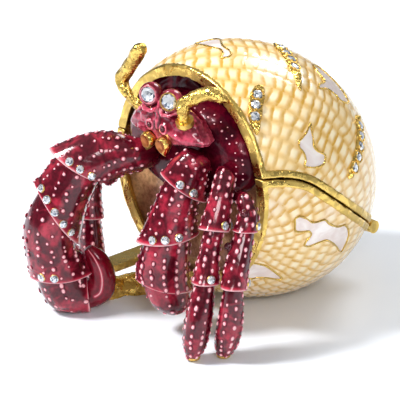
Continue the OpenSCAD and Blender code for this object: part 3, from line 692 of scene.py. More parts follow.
def crystal():
    """Foil-backed crystal, whose facets are painted bright or dark by their attribute, as painted
    reflections inside the stone.
    """
    tree, shader, _ = new_paint("crystal", "foil_backed_crystal")
    painted_glint = read(tree, "facet")
    feed(tree, shader, {
        "Base Color": blend(tree, painted_glint, (0.10, 0.13, 0.18, 1), (0.97, 0.98, 1.0, 1)),
        "Metallic": 0.6, "Roughness": calc(tree, "MULTIPLY_ADD", painted_glint, 0.05, 0.03),
        "Coat Weight": 1.0, "Coat Roughness": 0.02})


def make_paints():
    """The shared groups, then every finish once."""
    cast_grain_group()
    enamel_depth_group()
    woven_cells_group()
    # name, tone of the gold, roughness, bump in millimetres, scale of the grain, pits, filling
    golds = {
        "gold": ("rim_gold", (1, 1, 1), 0.2, 0.12, 420, 0.3, None),
        "bright_gold": ("bright_gold", (1.05, 1.0, 0.95), 0.18, 0.05, 300, 0.1, None),
        "rough_gold": ("rough_cast_gold", (1.0, 0.98, 0.9), 0.12, 0.45, 520, 0.5, None),
        "inside_gold": ("satin_inside_gold", (0.9, 0.85, 0.8), 0.4, 0.03, 420, 0.3, None),
        "amber": ("scooped_gold", (1, 1, 1), 0.15, 0.05, 300, 0.1, "rim"),
    }
    for key, (name, tone, roughness, *rest) in golds.items():
        bright = tuple(a * b for a, b in zip(finishes().gold[:3], tone)) + (1,)
        dull = tuple(a * 0.7 for a in bright[:3]) + (1,)
        metal(key, name, bright, dull, roughness, 0.22, *rest)
    metal("nickel", "nickel_plate", (0.62, 0.61, 0.58, 1), (0.45, 0.44, 0.42, 1),
          0.2, 0.2, 0.02, 400, 0.4)
    maroon, rose = tuple(finishes().maroon), tuple(finishes().rose)
    # name, thick and thin colours, scale of the patches, spread, edges, coat, bump in mm, gloss
    enamels = {
        "limb": ("maroon_limb_enamel", maroon, rose, 260, 0.85, "rim", 0.5, 0.14),
        "bead": ("raised_dot_enamel", maroon, (0.62, 0.10, 0.16, 1), 200, 0.3, "rim", 0.1, 0.01),
        "head": ("rose_head_enamel", (0.16, 0.004, 0.016, 1), (0.58, 0.07, 0.12, 1),
                 260, 0.85, "rim", 0.45, 0.12),
        "finger": ("dark_red_finger_enamel", (0.14, 0.001, 0.008, 1), (0.42, 0.012, 0.04, 1),
                   150, 0.6, "rim", 0.15, 0.08),
        "carapace": ("dark_carapace_enamel", (0.05, 0.001, 0.007, 1), (0.22, 0.005, 0.018, 1),
                     200, 0.5, None, 0.0, 0.08, 0.2),
        "mouth": ("swirled_mouth_enamel", (0.06, 0.001, 0.008, 1), (0.30, 0.01, 0.03, 1),
                  190, 0.8, None, 0.0, 0.1, 0.15),
        "wash": ("gold_brown_wash", (0.30, 0.12, 0.06, 1), (0.62, 0.36, 0.17, 1),
                 150, 1.0, None, 0.3, 0.15),
        "eye_ring": ("pale_eye_ring_enamel", (0.52, 0.10, 0.14, 1), (0.80, 0.36, 0.38, 1),
                     400, 1.0, None, 0.5, 0.02),
        "garnet": ("garnet_bead", (0.06, 0.001, 0.006, 1), (0.2, 0.01, 0.03, 1),
                   300, 0.3, None, 0.5, 0.01),
    }
    for key, values in enamels.items():
        enamel(key, *values)
    shell_enamel()
    crystal()


def paint_node(node, paint):
    """Gives a CAD node that stays its finish."""
    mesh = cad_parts[node].data
    mesh.materials.clear()
    mesh.materials.append(PAINTS[paint])


# limbs: stations are shares of the crab's size, as in the part's source

# right claw: reach, height, turn, half depth, half width, in one upright plane
RIGHT_CLAW = ((-0.19, -0.63), -131.3, {
    "right_claw_arm": ((0.012, 0.988, -105, 0.091, 0.085), (0.154, 0.99, -104, 0.132, 0.112),
                       (0.261, 0.962, -115, 0.163, 0.135), (0.38, 0.921, -149, 0.172, 0.153)),
    "right_claw_wrist": ((0.38, 0.921, -149, 0.138, 0.125), (0.459, 0.783, -141, 0.158, 0.142),
                         (0.516, 0.629, -123, 0.204, 0.165)),
    "right_claw_hand": ((0.516, 0.629, -123, 0.165, 0.14), (0.556, 0.492, -154, 0.163, 0.152),
                        (0.535, 0.371, -174, 0.167, 0.152), (0.497, 0.242, -184, 0.163, 0.157)),
    "right_claw_palm": ((0.497, 0.242, -184, 0.145, 0.138), (0.482, 0.178, -206, 0.145, 0.138),
                        (0.442, 0.125, -231, 0.14, 0.13), (0.339, 0.1, -275, 0.1, 0.095)),
    "right_claw_finger": ((0.339, 0.1, -275, 0.075, 0.075), (0.281, 0.13, -320, 0.077, 0.084),
                          (0.261, 0.185, -360, 0.074, 0.088), (0.264, 0.262, -366, 0.066, 0.085),
                          (0.294, 0.34, -383, 0.055, 0.068), (0.338, 0.4, -395, 0.026, 0.03)),
})
LEFT_CLAW = ((0.267, -0.566), -130.5, {
    "left_claw_arm": ((0.052, 1.066, -132, 0.085, 0.085), (0.095, 1, -140, 0.116, 0.107),
                      (0.138, 0.893, -146, 0.138, 0.125)),
    "left_claw_wrist": ((0.138, 0.893, -146, 0.11, 0.1), (0.189, 0.752, -168, 0.124, 0.11),
                        (0.23, 0.591, -187, 0.158, 0.135)),
    "left_claw_palm": ((0.23, 0.591, -187, 0.13, 0.113), (0.258, 0.425, -181, 0.143, 0.132),
                       (0.248, 0.296, -168, 0.142, 0.132)),
    "left_claw_finger": ((0.248, 0.296, -168, 0.13, 0.12), (0.217, 0.18, -180, 0.11, 0.107),
                         (0.175, 0.125, -196, 0.055, 0.057)),
})
# legs: centre, plan angle, turn, half depth, half width
LEGS = {
    "left_front_thigh": ((0.44, -0.594, 1.016, -62, -120, 0.069, 0.06),
                         (0.472, -0.67, 0.89, -62, -150, 0.075, 0.066),
                         (0.49, -0.735, 0.74, -62, -160, 0.097, 0.088)),
    "left_front_shin": ((0.49, -0.735, 0.74, -62, -160, 0.06, 0.056),
                        (0.503, -0.785, 0.597, -62, -163, 0.066, 0.06),
                        (0.507, -0.815, 0.45, -62, -168, 0.086, 0.08)),
    "left_front_foot": ((0.507, -0.815, 0.45, -62, -168, 0.058, 0.055),
                        (0.508, -0.85, 0.33, -62, -168, 0.076, 0.072),
                        (0.51, -0.88, 0.204, -62, -170, 0.083, 0.077),
                        (0.505, -0.898, 0.094, -62, -172, 0.07, 0.066),
                        (0.498, -0.906, 0, -62, -180, 0.032, 0.028)),
    "left_back_thigh": ((0.556, -0.569, 0.902, -20, -110, 0.052, 0.046),
                        (0.61, -0.585, 0.84, -50, -165, 0.062, 0.056),
                        (0.622, -0.622, 0.742, -60, -165, 0.078, 0.073)),
    "left_back_shin": ((0.622, -0.622, 0.742, -60, -165, 0.058, 0.056),
                       (0.638, -0.69, 0.59, -65, -160, 0.07, 0.07),
                       (0.65, -0.735, 0.44, -69, -168, 0.08, 0.076)),
    "left_back_foot": ((0.65, -0.735, 0.44, -69, -168, 0.058, 0.056),
                       (0.65, -0.752, 0.3, -69, -170, 0.072, 0.07),
                       (0.638, -0.76, 0.173, -69, -174, 0.078, 0.075),
                       (0.615, -0.76, 0.079, -69, -176, 0.065, 0.062),
                       (0.594, -0.758, 0, -69, -180, 0.03, 0.028)),
    "right_thigh": ((-0.36, -0.606, 0.89, -135, -92, 0.063, 0.055),
                    (-0.45, -0.62, 0.893, -160, -95, 0.072, 0.06),
                    (-0.582, -0.613, 0.855, -167, -115, 0.082, 0.066),
                    (-0.654, -0.626, 0.755, -167, -155, 0.091, 0.082)),
    "right_shin": ((-0.654, -0.626, 0.755, -167, -155, 0.066, 0.06),
                   (-0.679, -0.632, 0.613, -167, -172, 0.072, 0.066),
                   (-0.682, -0.632, 0.456, -167, -180, 0.082, 0.075)),
    "right_foot": ((-0.682, -0.632, 0.456, -167, -180, 0.06, 0.057),
                   (-0.679, -0.632, 0.33, -167, -184, 0.075, 0.072),
                   (-0.667, -0.629, 0.189, -167, -186, 0.079, 0.075),
                   (-0.657, -0.629, 0.088, -167, -184, 0.063, 0.06),
                   (-0.654, -0.629, 0, -167, -180, 0.03, 0.028)),
}
CHEST_Y = -17.2 * MM
CARAPACE_RADII = (16.435 * MM, 7.044 * MM, 10.064 * MM)
CARAPACE_HEIGHT = 33.267 * MM
# where a limb leaves the flat chest: x, height, half width, half height
CHEST_RINGS = {
    "right_claw_arm": (-0.176, 0.984, 0.08, 0.085),
    "left_claw_arm": (0.238, 1.022, 0.072, 0.072),
    "left_front_thigh": (0.355, 0.99, 0.053, 0.062),
    "left_back_thigh": (0.39, 0.855, 0.045, 0.052),
    "right_thigh": (-0.3, 0.858, 0.053, 0.057),
}

FEET = ("foot", "finger")
# how far a joint's root runs back into the lip before it, and its size there as a share
ROOT_DEPTH = 0.9 * MM
ROOT_SHARE = 0.9
# rounding of a foot's tip: how far past the last station, and its size there as a share
TIP_REACH = 0.05 * MM
TIP_SHARE = 0.6
# depth of the hollow behind a lip, and its inset as a share of the lip's thickness
HOLLOW_DEPTH = 1.1 * MM
HOLLOW_SHARE = 1.6
# how sharp a lip stays under subdivision: its outer and its inner edge
OUTER_CREASE, INNER_CREASE = 0.75, 0.7
# stretch at a joint's end over which its direction is taken, in stations
END_STRETCH = 0.2
RINGS_A_STATION = 5
# share of a joint's length where the section starts to flare and the enamel to pale
FLARE_START = 0.6
PALE_START = 0.84
# growth of a section, as shares: at its corners, and at the lip all round and at its corners
CORNER_SHARE = 0.04
LIP_SHARE = 0.02
LIP_CORNER_SHARE = 0.13
# number of the low ridges under the rows of dots, and their height as a share
RIDGES = 12
RIDGE_SHARE = 0.026
# height of the bare gold under each foot
TOE_HEIGHT = 0.7 * MM
# round dark beads of the legs: joint, share of its length, angle round it, radius
GARNETS = (
    ("left_back_thigh", 0.5, math.radians(195), 0.62 * MM),
    ("left_back_shin", 0.3, math.radians(240), 0.7 * MM),
)


def stations(node):
    """Centre x, y, z, half depth, half width, plan angle and turn of each station."""
    for root, plan, parts in (RIGHT_CLAW, LEFT_CLAW):
        if node in parts:
            x, y = math.cos(math.radians(plan)), math.sin(math.radians(plan))
            return [
                Vector((root[0] + reach * x, root[1] + reach * y, height, deep, wide)).to_tuple()
                + (plan, turn) for reach, height, turn, deep, wide in parts[node]]
    return [(x, y, z, deep, wide, plan, turn) for x, y, z, plan, turn, deep, wide in LEGS[node]]


def ring_frame(row):
    """Centre, depth and across vectors of a ring, the last two as long as its half sizes."""
    size = crab().limb
    x, y, z, deep, wide, plan, turn = row
    plan, turn = math.radians(plan), math.radians(turn)
    depth = Vector((math.cos(turn) * math.cos(plan), math.cos(turn) * math.sin(plan), math.sin(turn)))
    across = Vector((-math.sin(plan), math.cos(plan), 0))
    return Vector((x, y, z)) * size, depth * deep * size, across * wide * size


def ring_at(rows, share):
    """The ring at a share of a joint's length, on a smooth run through its stations."""
    last = len(rows) - 1
    i = min(int(share * last), last - 1)
    near = rows[max(i - 1, 0)], rows[i], rows[i + 1], rows[min(i + 2, last)]
    return ring_frame([curve_through(*values, share * last - i) for values in zip(*near)])


def flare(node, share, angle):
    """How much a limb's section grows near its lip, with corners to both sides."""
    if node == "right_claw_finger":
        return 1 + 0.16 * abs(math.cos(angle)) ** 12 - 0.22 * max(0.0, math.sin(angle)) ** 4
    corner = abs(math.cos(angle)) ** 8
    if node.endswith(FEET):
        return 1 + CORNER_SHARE * corner
    rise = max(0.0, (share - FLARE_START) / (1 - FLARE_START))
    return 1 + rise * rise * (LIP_SHARE + LIP_CORNER_SHARE * corner) + CORNER_SHARE * corner


def section(node, share, angle):
    """Growth of a limb's section, with long low ridges under the rows of dots."""
    if node == "right_claw_finger":
        return flare(node, share, angle)
    fade = math.sin(math.pi * min(max(share, 0.04), 0.96))
    return flare(node, share, angle) * (1 + RIDGE_SHARE * fade * math.cos(RIDGES * angle))


def paleness(node, share, at_corner):
    """Edge mask of a limb's enamel: near its lip, or along the corners of the paddle."""
    if node == "right_claw_finger":
        return 0.9 if at_corner and share > 0.1 else 0.0
    if node.endswith(FEET):
        return 0.0
    return 0.45 * max(0.0, (share - PALE_START) / (1 - PALE_START)) + 0.5 * (share == 1)


def limb_point(node, rows, share, angle):
    centre, depth, across = ring_at(rows, share)
    return centre + (depth * math.cos(angle) + across * math.sin(angle)) * section(node, share, angle)


def limb_normal(node, rows, share, angle):
    here = limb_point(node, rows, share, angle)
    around = limb_point(node, rows, share, angle + 0.02) - here
    step = 0.01 if share < 0.98 else -0.01
    along = (limb_point(node, rows, share + step, angle) - here) * (1 if step > 0 else -1)
    out = around.cross(along).normalized()
    return out if out.dot(here - ring_at(rows, share)[0]) > 0 else -out


def limb_root(node, rows):
    """Where a limb starts: flat on the chest, or in the lip of the joint before it."""
    if node in CHEST_RINGS:
        x, z, wide, high = (value * crab().limb for value in CHEST_RINGS[node])
        return ring_matrix(Vector((x, CHEST_Y, z)), Vector((0, 0, -high)), Vector((wide, 0, 0)))
    centre, depth, across = ring_frame(rows[0])
    heading = (ring_at(rows, END_STRETCH / (len(rows) - 1))[0] - centre).normalized()
    return ring_matrix(centre - heading * ROOT_DEPTH, depth * ROOT_SHARE, across * ROOT_SHARE)


def limb_mesh(node):
    """A limb's skin: rings along it, a flared lip with a hollow behind it, and a plug at its root."""
    rows, sides = stations(node), crab().sides
    bm = bmesh.new()
    rim = bm.verts.layers.float.new("rim")
    crease = bm.edges.layers.float.new("crease_edge")
    loops = [ring_loop(bm, limb_root(node, rows), sides)[1]]
    count = RINGS_A_STATION * (len(rows) - 1)
    for i in range(count + 1):
        share = i / count
        verts, edges = ring_loop(
            bm, ring_matrix(*ring_at(rows, share)), sides, partial(section, node, share))
        for corner, vert in enumerate(verts):
            vert[rim] = paleness(node, share, corner in (0, sides // 2))
        loops.append(edges)
    end, depth, across = ring_frame(rows[-1])
    ahead = (end - ring_at(rows, 1 - END_STRETCH / (len(rows) - 1))[0]).normalized()
    if node.endswith(FEET):
        tip = ring_matrix(end + ahead * TIP_REACH, depth * TIP_SHARE, across * TIP_SHARE)
        loops.append(ring_loop(bm, tip, sides)[1])
    else:
        for edge in loops[-1]:
            edge[crease] = OUTER_CREASE
        lip = crab().lip
        for back, inset, sharpness in (
                (0.0, lip, INNER_CREASE), (HOLLOW_DEPTH, lip * HOLLOW_SHARE, 0.0)):
            shrink = 1 - inset / min(depth.length, across.length)
            verts, edges = ring_loop(
                bm, ring_matrix(end - ahead * back, depth, across), sides,
                lambda angle, shrink=shrink: flare(node, 1.0, angle) * shrink)
            for edge in edges:
                edge[crease] = sharpness
            for vert in verts:
                vert[rim] = 0.0 if back else 0.9
            loops.append(edges)
    bridge(bm, loops)
    for loop in (loops[0], loops[-1]):
        bmesh.ops.contextual_create(bm, geom=loop)
    bmesh.ops.recalc_face_normals(bm, faces=bm.faces)
    return bm


# a raised dot from its middle below to its top, as shares of its radius: radius and height
DOT_SHARES = ((0, -0.9), (1.9, -0.5), (1.45, -0.02), (1.05, 0.12), (0.86, 0.4), (0.5, 0.62), (0, 0.7))


def bead_mesh(radius):
    """A raised dot with few faces: pale on top, with a rosy foot that dips into the enamel."""
    bm = lathe([(share * radius, height * radius) for share, height in DOT_SHARES], 8)
    rim = bm.verts.layers.float.new("rim")
    for vert in bm.verts:
        height = vert.co.z / radius
        vert[rim] = 1.0 if height > 0.25 else max(0.0, 0.15 + height * 1.9)
    return bm


def loose_parts(bm):
    """The separate solids of a mesh, as lists of vertices."""
    seen = set()
    for vert in bm.verts:
        if vert in seen:
            continue
        part, queue = [], [vert]
        seen.add(vert)
        while queue:
            here = queue.pop()
            part.append(here)
            for edge in here.link_edges:
                other = edge.other_vert(here)
                if other not in seen:
                    seen.add(other)
                    queue.append(other)
        yield part


def crystal_spots(*nodes):
    """Place, axis and radius of each crystal of some CAD nodes."""
    spots = []
    for node in nodes:
        bm = cad_copy(node)
        bmesh.ops.dissolve_limit(bm, angle_limit=math.radians(1), verts=bm.verts, edges=bm.edges)
        for part in loose_parts(bm):
            faces = {face for vert in part for face in vert.link_faces}
            flat = sorted(faces, key=lambda face: -len(face.verts))[:2]
            flat.sort(key=lambda face: -face.calc_area())
            low, high = (face.calc_center_median() for face in flat)
            radius = max((vert.co - low).length for vert in flat[0].verts)
            spots.append((low, (high - low).normalized(), radius))
        bm.free()
    if not spots:
        raise RuntimeError(f"no crystals found in {nodes}")
    return spots


# rings of a cut stone, as shares of its radius: radius and height, turn in facets, and facets
STONE_SHARES = ((0.54, 0.56, 0.0, 8), (0.80, 0.42, 0.5, 8), (1.0, 0.20, 0.0, 16), (1.0, 0.0, 0.0, 16))
# painted brightness a facet may get, standing in for the reflections inside the stone, and how much
# larger a stone is than its CAD solid
PAINTED_GLINTS = (0.0, 0.3, 0.6, 0.85, 1.0, 1.0)
STONE_GROWTH = 1.08


def cut_crystal(radius, seed):
    """A round stone with a table, star and kite facets and a girdle, each facet with a painted
    brightness.
    """
    bm = bmesh.new()
    for share, height, shift, sides in STONE_SHARES:
        for i in range(sides):
            angle = 2 * math.pi * (i + shift) / sides
            bm.verts.new((share * radius * math.cos(angle), share * radius * math.sin(angle),
                          height * radius))
    bmesh.ops.convex_hull(bm, input=bm.verts)
    bmesh.ops.dissolve_limit(bm, angle_limit=math.radians(1), verts=bm.verts, edges=bm.edges)
    table = [face for face in bm.faces if face.normal.z > 0.98]
    bmesh.ops.poke(bm, faces=table, offset=0.02 * radius)
    # each facet gets a painted brightness at random, a painted reflection
    facet = bm.faces.layers.float.new("facet")
    rolls = random.Random(seed)
    for face in bm.faces:
        face[facet] = rolls.choice(PAINTED_GLINTS)
    return bm


# operators: one for each group of pieces

# how far behind the mouth's plane the enamel starts
MOUTH_COVER = 0.4 * MM
# share of the shell's radius inside which a face is gilt, and how near 1 its outside is
GILT_SHARE = 0.98
OUTSIDE_SHARE = 0.005


class BOX_OT_shells(bpy.types.Operator):
    """Enamelled skins of the lid and the base with their woven relief, gilt inside"""
    bl_idname = "box.shells"
    bl_label = "Shells"

    def skin(self, side):
        """The shell's outer surface on one side of the seam: 1 above it and -1 below it."""
        bm = bmesh.new()
        bmesh.ops.create_uvsphere(
            bm, u_segments=400, v_segments=224, radius=1.0, matrix=unit_to_shell())
        cut_flat(bm, (0, MOUTH_Y + MOUTH_COVER, 0), (0, -1, 0), close=False)
        edge = SEAM_HALF_GAP + shell().rim_cover
        bmesh.ops.delete(
            bm, geom=[v for v in bm.verts if side * seam_offset(v.co) <= edge], context="VERTS")
        return bm

    def carve(self, bm, shapes):
        """Gives the skin its wall, then its relief and the marks that its enamel is coloured by."""
        layers = [bm.verts.layers.float.new(name) for name in ("rows", "share", "patch")]
        to_unit = unit_to_shell().inverted()
        bmesh.ops.solidify(bm, geom=bm.faces[:], thickness=shell().wall)
        bm.normal_update()
        for face in bm.faces:
            is_gilt = (to_unit @ face.calc_center_median()).length < GILT_SHARE
            face.material_index = 1 if is_gilt else 0
        for vert in bm.verts:
            if abs((to_unit @ vert.co).length - 1) > OUTSIDE_SHARE:
                continue
            rows, share = weave(vert.co)
            away = patch_distance(vert.co, shapes)
            for layer, value in zip(layers, (rows, share, away / MM)):
                vert[layer] = value
            woven = max(0.0, min(1.0, away / PATCH_EDGE))
            sunk = (1 - pillow(rows, share)) * woven + PATCH_DEPTH_SHARE * (1 - woven)
            vert.co -= vert.normal * shell().relief * sunk

    def execute(self, context):
        # the weave wanders the same way each run
        noise.seed_set(1)
        for body, side in (("lid", 1), ("base", -1)):
            bm = self.skin(side)
            if body == "base":
                cut_flat(bm, (0, 0, 0), (0, 0, -1))
            if not bm.faces:
                raise RuntimeError(f"the {body}'s shell has no faces")
            self.carve(bm, [flat_shape(points) for points in PATCHES[body]])
            piece(f"{body}_shell_enamel", bm, body, "shell_enamel", "shell", "inside_gold",
                  stands_for=f"{body}_shell", sharp=60)
        return {"FINISHED"}


# how far the wires sink into the enamel, and how much they swell and thin, as a share
WIRE_DEPTH = 0.02 * MM
WIRE_SWELL_SHARE = 0.45


def lay_wire(bm, line, radius, seed):
    """A closed hand-laid wire through places, a little thick and thin."""
    rings = []
    for i, here in enumerate(line):
        ahead = (line[(i + 1) % len(line)] - line[i - 1]).normalized()
        side = ahead.cross(UP if abs(ahead.z) < 0.9 else LEFT).normalized()
        swell = WIRE_SWELL_SHARE * noise.noise(here * 900 + Vector((seed, 0, 0)))
        thick = radius * (1 + swell)
        rings.append(ring_loop(bm, ring_matrix(here, side * thick, ahead.cross(side) * thick), 8)[1])
    bridge(bm, rings + rings[:1])


class BOX_OT_wires(bpy.types.Operator):
    """Gold wires round the pale patches of the shell"""
    bl_idname = "box.wires"
    bl_label = "Patch wires"

    def execute(self, context):
        for body, shapes in PATCHES.items():
            bm = bmesh.new()
            for seed, points in enumerate(shapes):
                line = [on_shell(*spot, lift=-WIRE_DEPTH)[0] for spot in outline(points)]
                lay_wire(bm, line, shell().wire, seed)
            bmesh.ops.recalc_face_normals(bm, faces=bm.faces)
            piece(f"{body}_patch_wires", bm, body, "gold", "rough_gold")
        return {"FINISHED"}


class BOX_OT_rims(bpy.types.Operator):
    """Hand-finished gold rims along the seam and round the mouth"""
    bl_idname = "box.rims"
    bl_label = "Rims"

    def execute(self, context):
        for body, depth in (("lid", 0.05 * MM), ("base", 0.12 * MM)):
            bm = remeshed(cad_copy(f"{body}_rim"), 0.2 * MM, 3)
            uneven(bm, depth, 420, 3.0)
            piece(f"{body}_rim_cast", bm, body, "gold", "gold", stands_for=f"{body}_rim")
        return {"FINISHED"}


# swirls of the lid's mouth wall: spacing, depth, how far they wander, and their oval's centre x
SWIRL_PITCH = 2.6 * MM
SWIRL_DEPTH = 0.32 * MM
SWIRL_WANDER = 2.2 * MM
SWIRL_X = -2 * MM


class BOX_OT_walls(bpy.types.Operator):
    """Walls that close the two halves at the mouth, with their magnets"""
    bl_idname = "box.walls"
    bl_label = "Mouth walls"

    def execute(self, context):
        bm = remeshed(cad_copy("lid_mouth_wall"), 0.3 * MM, 2)
        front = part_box("lid_mouth_wall")[0].y
        centre = Vector((SWIRL_X, front, SEAM_HEIGHT))
        for vert in bm.verts:
            if vert.co.y < front + 0.25 * MM:
                away = vert.co - centre
                away.x *= 1.25
                wander = noise.fractal(vert.co * 160, 1.0, 2.0, 2) * SWIRL_WANDER
                wave = math.sin(2 * math.pi * (away.length + wander) / SWIRL_PITCH)
                vert.co.y += SWIRL_DEPTH * (1 - wave) / 2
        piece("lid_mouth_enamel", bm, "lid", "maroon_enamel", "mouth", stands_for="lid_mouth_wall")
        paint_node("base_mouth_wall", "wash")
        for node in ("lid_magnet", "base_magnet"):
            paint_node(node, "nickel")
        return {"FINISHED"}


class BOX_OT_hinge(bpy.types.Operator):
    """Knuckles and pin of the hinge"""
    bl_idname = "box.hinge"
    bl_label = "Hinge"

    def execute(self, context):
        for node in ("base_knuckles", "lid_knuckle", "hinge_pin"):
            paint_node(node, "gold")
        return {"FINISHED"}


# how far the eyes look to the crab's left
EYE_TURN = math.radians(20)


def turned_eye(node):
    """Turns an eye about its own upright axis."""
    low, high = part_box(node)
    middle = Matrix.Translation((low + high) / 2)
    return middle @ Matrix.Rotation(EYE_TURN, 4, "Z") @ middle.inverted()


def eye_spots():
    """Place, axis and radius of the crystals in the right and the left eye."""
    for place, out, radius in sorted(crystal_spots("eye_crystals"), key=lambda spot: spot[0].x):
        turn = turned_eye("left_eye" if place.x > 0 else "right_eye")
        yield turn @ place, turn.to_3x3() @ out, radius


class BOX_OT_crystals(bpy.types.Operator):
    """Cut crystals of the lid, the eyes, the claws and the legs"""
    bl_idname = "box.crystals"
    bl_label = "Crystals"

    def execute(self, context):
        for node, body in (("lid_crystals", "lid"), ("eye_crystals", "base"),
                           ("claw_crystals", "base"), ("leg_crystals", "base")):
            bm = bmesh.new()
            spots = eye_spots() if node == "eye_crystals" else crystal_spots(node)
            for seed, (place, out, radius) in enumerate(spots):
                join(bm, cut_crystal(radius * STONE_GROWTH, seed), stand(place, out))
            obj = piece(node + "_cut", bm, body, "crystal", "crystal", stands_for=node)
            obj.data.polygons.foreach_set("use_smooth", [False] * len(obj.data.polygons))
        return {"FINISHED"}


# rows of the lid's crystals and the gold that runs on beyond them: longitude, latitude, half width
PLATES = (
    ((34.5, 27.5, 0.2), (35.6, 25.5, 1.2), (36.4, 22.4, 1.62), (38, 17.4, 1.55), (40.2, 12.5, 1.5),
     (42.4, 8.6, 1.0), (44.5, 5.5, 0.3)),
    ((8, 67.5, 0.2), (16, 65.5, 0.9), (24, 62.8, 1.5), (32.6, 58.9, 1.6), (39.4, 54.7, 1.6),
     (44.1, 49.5, 1.5), (48.4, 44.1, 1.1), (51, 40, 0.7), (53.3, 36.1, 0.2)),
    ((96.6, 46.5, 0.2), (96.6, 43.6, 1.1), (96.4, 40.4, 1.45), (95.6, 35, 1.5), (94.6, 29.4, 1.5),
     (93.4, 23.6, 1.5), (92.2, 17.8, 1.4), (91.4, 14.4, 0.9), (90.6, 11.4, 0.2)),
)
PLATE_BEADS = ((48.4, 44.1, 0.75), (96.6, 44.6, 0.5), (91.3, 13.6, 0.5), (43.6, 7.4, 0.45))
# overlapping lumps in each stretch of a plate or a ridge
LUMPS = 6
PLATE_HEIGHT = 0.32 * MM
PLATE_BEAD_LIFT = 0.25 * MM
# profiles of the rings round the stones: share of the stone's radius, and height in millimetres
LID_BEZEL = ((1.06, -0.3), (1.364, -0.3), (1.3144, 0.3), (1.24, 0.46), (1.1024, 0.46),
             (1.06, 0.34), (1.06, -0.3))
EYE_RING = ((1.04, -0.35), (1.3, -0.35), (1.3, 0.2), (1.2, 0.52), (1.1, 0.52), (1.04, -0.35))
CRAB_BEZEL = ((1.0, -0.3), (1.2, -0.3), (1.16, 0.02), (1.07, 0.1), (1.0, -0.3))
# claws on each bezel of the lid: number, radius, height, and place as a share of the stone's radius
CLAWS, CLAW_RADIUS, CLAW_HEIGHT, CLAW_SHARE = 4, 0.19 * MM, 0.46 * MM, 1.06


def stretches(points):
    """Even steps along the straight stretches between rows of values."""
    for here, ahead in zip(points, points[1:]):
        for step in range(LUMPS):
            yield tuple(a + (b - a) * step / LUMPS for a, b in zip(here, ahead))


class BOX_OT_settings(bpy.types.Operator):
    """Gold plates on the lid, and the rings round the crystals"""
    bl_idname = "box.settings"
    bl_label = "Settings"

    def plates(self):
        bm = bmesh.new()
        for row in PLATES:
            for lon, lat, wide in stretches(row):
                half = (wide - 0.12) * MM
                flat = Matrix.Diagonal((half, half, PLATE_HEIGHT, 1))
                add_ball(bm, stand(*on_shell(lon, lat)) @ flat, 1.0, 12, 8)
        for lon, lat, radius in PLATE_BEADS:
            place = on_shell(lon, lat, PLATE_BEAD_LIFT)[0]
            add_ball(bm, Matrix.Translation(place), radius * MM, 14, 10)
        bm = remeshed(bm, 0.14 * MM, 2)
        uneven(bm, 0.12 * MM, 700, 4.0)
        piece("lid_plates", bm, "lid", "gold", "rough_gold")

    def lid_bezels(self):
        bm = bmesh.new()
        for place, out, radius in crystal_spots("lid_crystals"):
            matrix = stand(place, out)
            join(bm, bezel(LID_BEZEL, radius, 28), matrix)
            for i in range(CLAWS):
                angle = 2 * math.pi * (i + 0.5) / CLAWS
                claw = Vector((math.cos(angle), math.sin(angle), 0)) * radius * CLAW_SHARE
                claw.z = CLAW_HEIGHT
                add_ball(bm, matrix @ Matrix.Translation(claw), CLAW_RADIUS, 8, 6)
        piece("lid_bezels", bm, "lid", "gold", "bright_gold", stands_for="lid_settings", sharp=40)

    def execute(self, context):
        self.plates()
        self.lid_bezels()
        for (place, out, radius), side, slot, paint in zip(
                eye_spots(), ("right", "left"), ("pink_enamel", "gold"), ("eye_ring", "bright_gold")):
            ring = bezel(EYE_RING, radius, 36)
            ring.transform(stand(place, out))
            piece(side + "_eye_ring", ring, "base", slot, paint, sharp=40)
        bm = bmesh.new()
        for place, out, radius in crystal_spots("claw_crystals", "leg_crystals"):
            join(bm, bezel(CRAB_BEZEL, radius, 20), stand(place, out))
        piece("crab_bezels", bm, "base", "gold", "bright_gold", sharp=40)
        return {"FINISHED"}


# rows of dots across the carapace, from its middle outwards: number, reach and spacing as shares
DOT_ROWS, FIRST_ROW_SHARE, ROW_SPACING_SHARE = 9, 0.52, 0.058
# dots in a row: number, and where they start and how far apart they are, in degrees
DOTS_IN_ROW, DOTS_START, DOTS_SPACING = 30, -64, 8.4


class BOX_OT_carapace(bpy.types.Operator):
    """The crab's dark rounded back behind its head, with pale dots"""
    bl_idname = "box.carapace"
    bl_label = "Carapace"

    def dots(self, matrix, centre, front):
        bm = bmesh.new()
        rolls = random.Random(3)
        for row in range(DOT_ROWS):
            for step in range(DOTS_IN_ROW):
                angle = math.radians(DOTS_START + step * DOTS_SPACING + rolls.uniform(-2, 2))
                reach = FIRST_ROW_SHARE + ROW_SPACING_SHARE * row + rolls.uniform(-0.01, 0.01)
                unit = Vector((reach * math.sin(angle), 0, reach * math.cos(angle)))
                if unit.length >= 0.97 or unit.z < -0.35:
                    continue
                unit.y = -math.sqrt(1 - unit.length_squared)
                place = matrix @ unit
                if place.y < front + 0.3 * MM:
                    continue
                out = Vector([value / size ** 2 for value, size in zip(
                    place - centre, CARAPACE_RADII)])
                join(bm, bead_mesh(rolls.uniform(0.12, 0.2) * MM), stand(place, out))
        piece("carapace_dots", bm, "base", "maroon_enamel", "bead")

    def execute(self, context):
        low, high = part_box("carapace")
        centre = Vector((0, high.y, CARAPACE_HEIGHT))
        matrix = Matrix.Translation(centre) @ Matrix.Diagonal(CARAPACE_RADII + (1,))
        bm = bmesh.new()
        bmesh.ops.create_uvsphere(bm, u_segments=96, v_segments=64, radius=1.0, matrix=matrix)
        cut_flat(bm, (0, low.y, 0), (0, -1, 0))
        cut_flat(bm, (0, high.y, 0), (0, 1, 0))
        uneven(bm, 0.18 * MM, 260, 2.0)
        piece("carapace_enamel", bm, "base", "maroon_enamel", "carapace",
              stands_for="carapace", sharp=40)
        self.dots(matrix, centre, low.y)
        return {"FINISHED"}


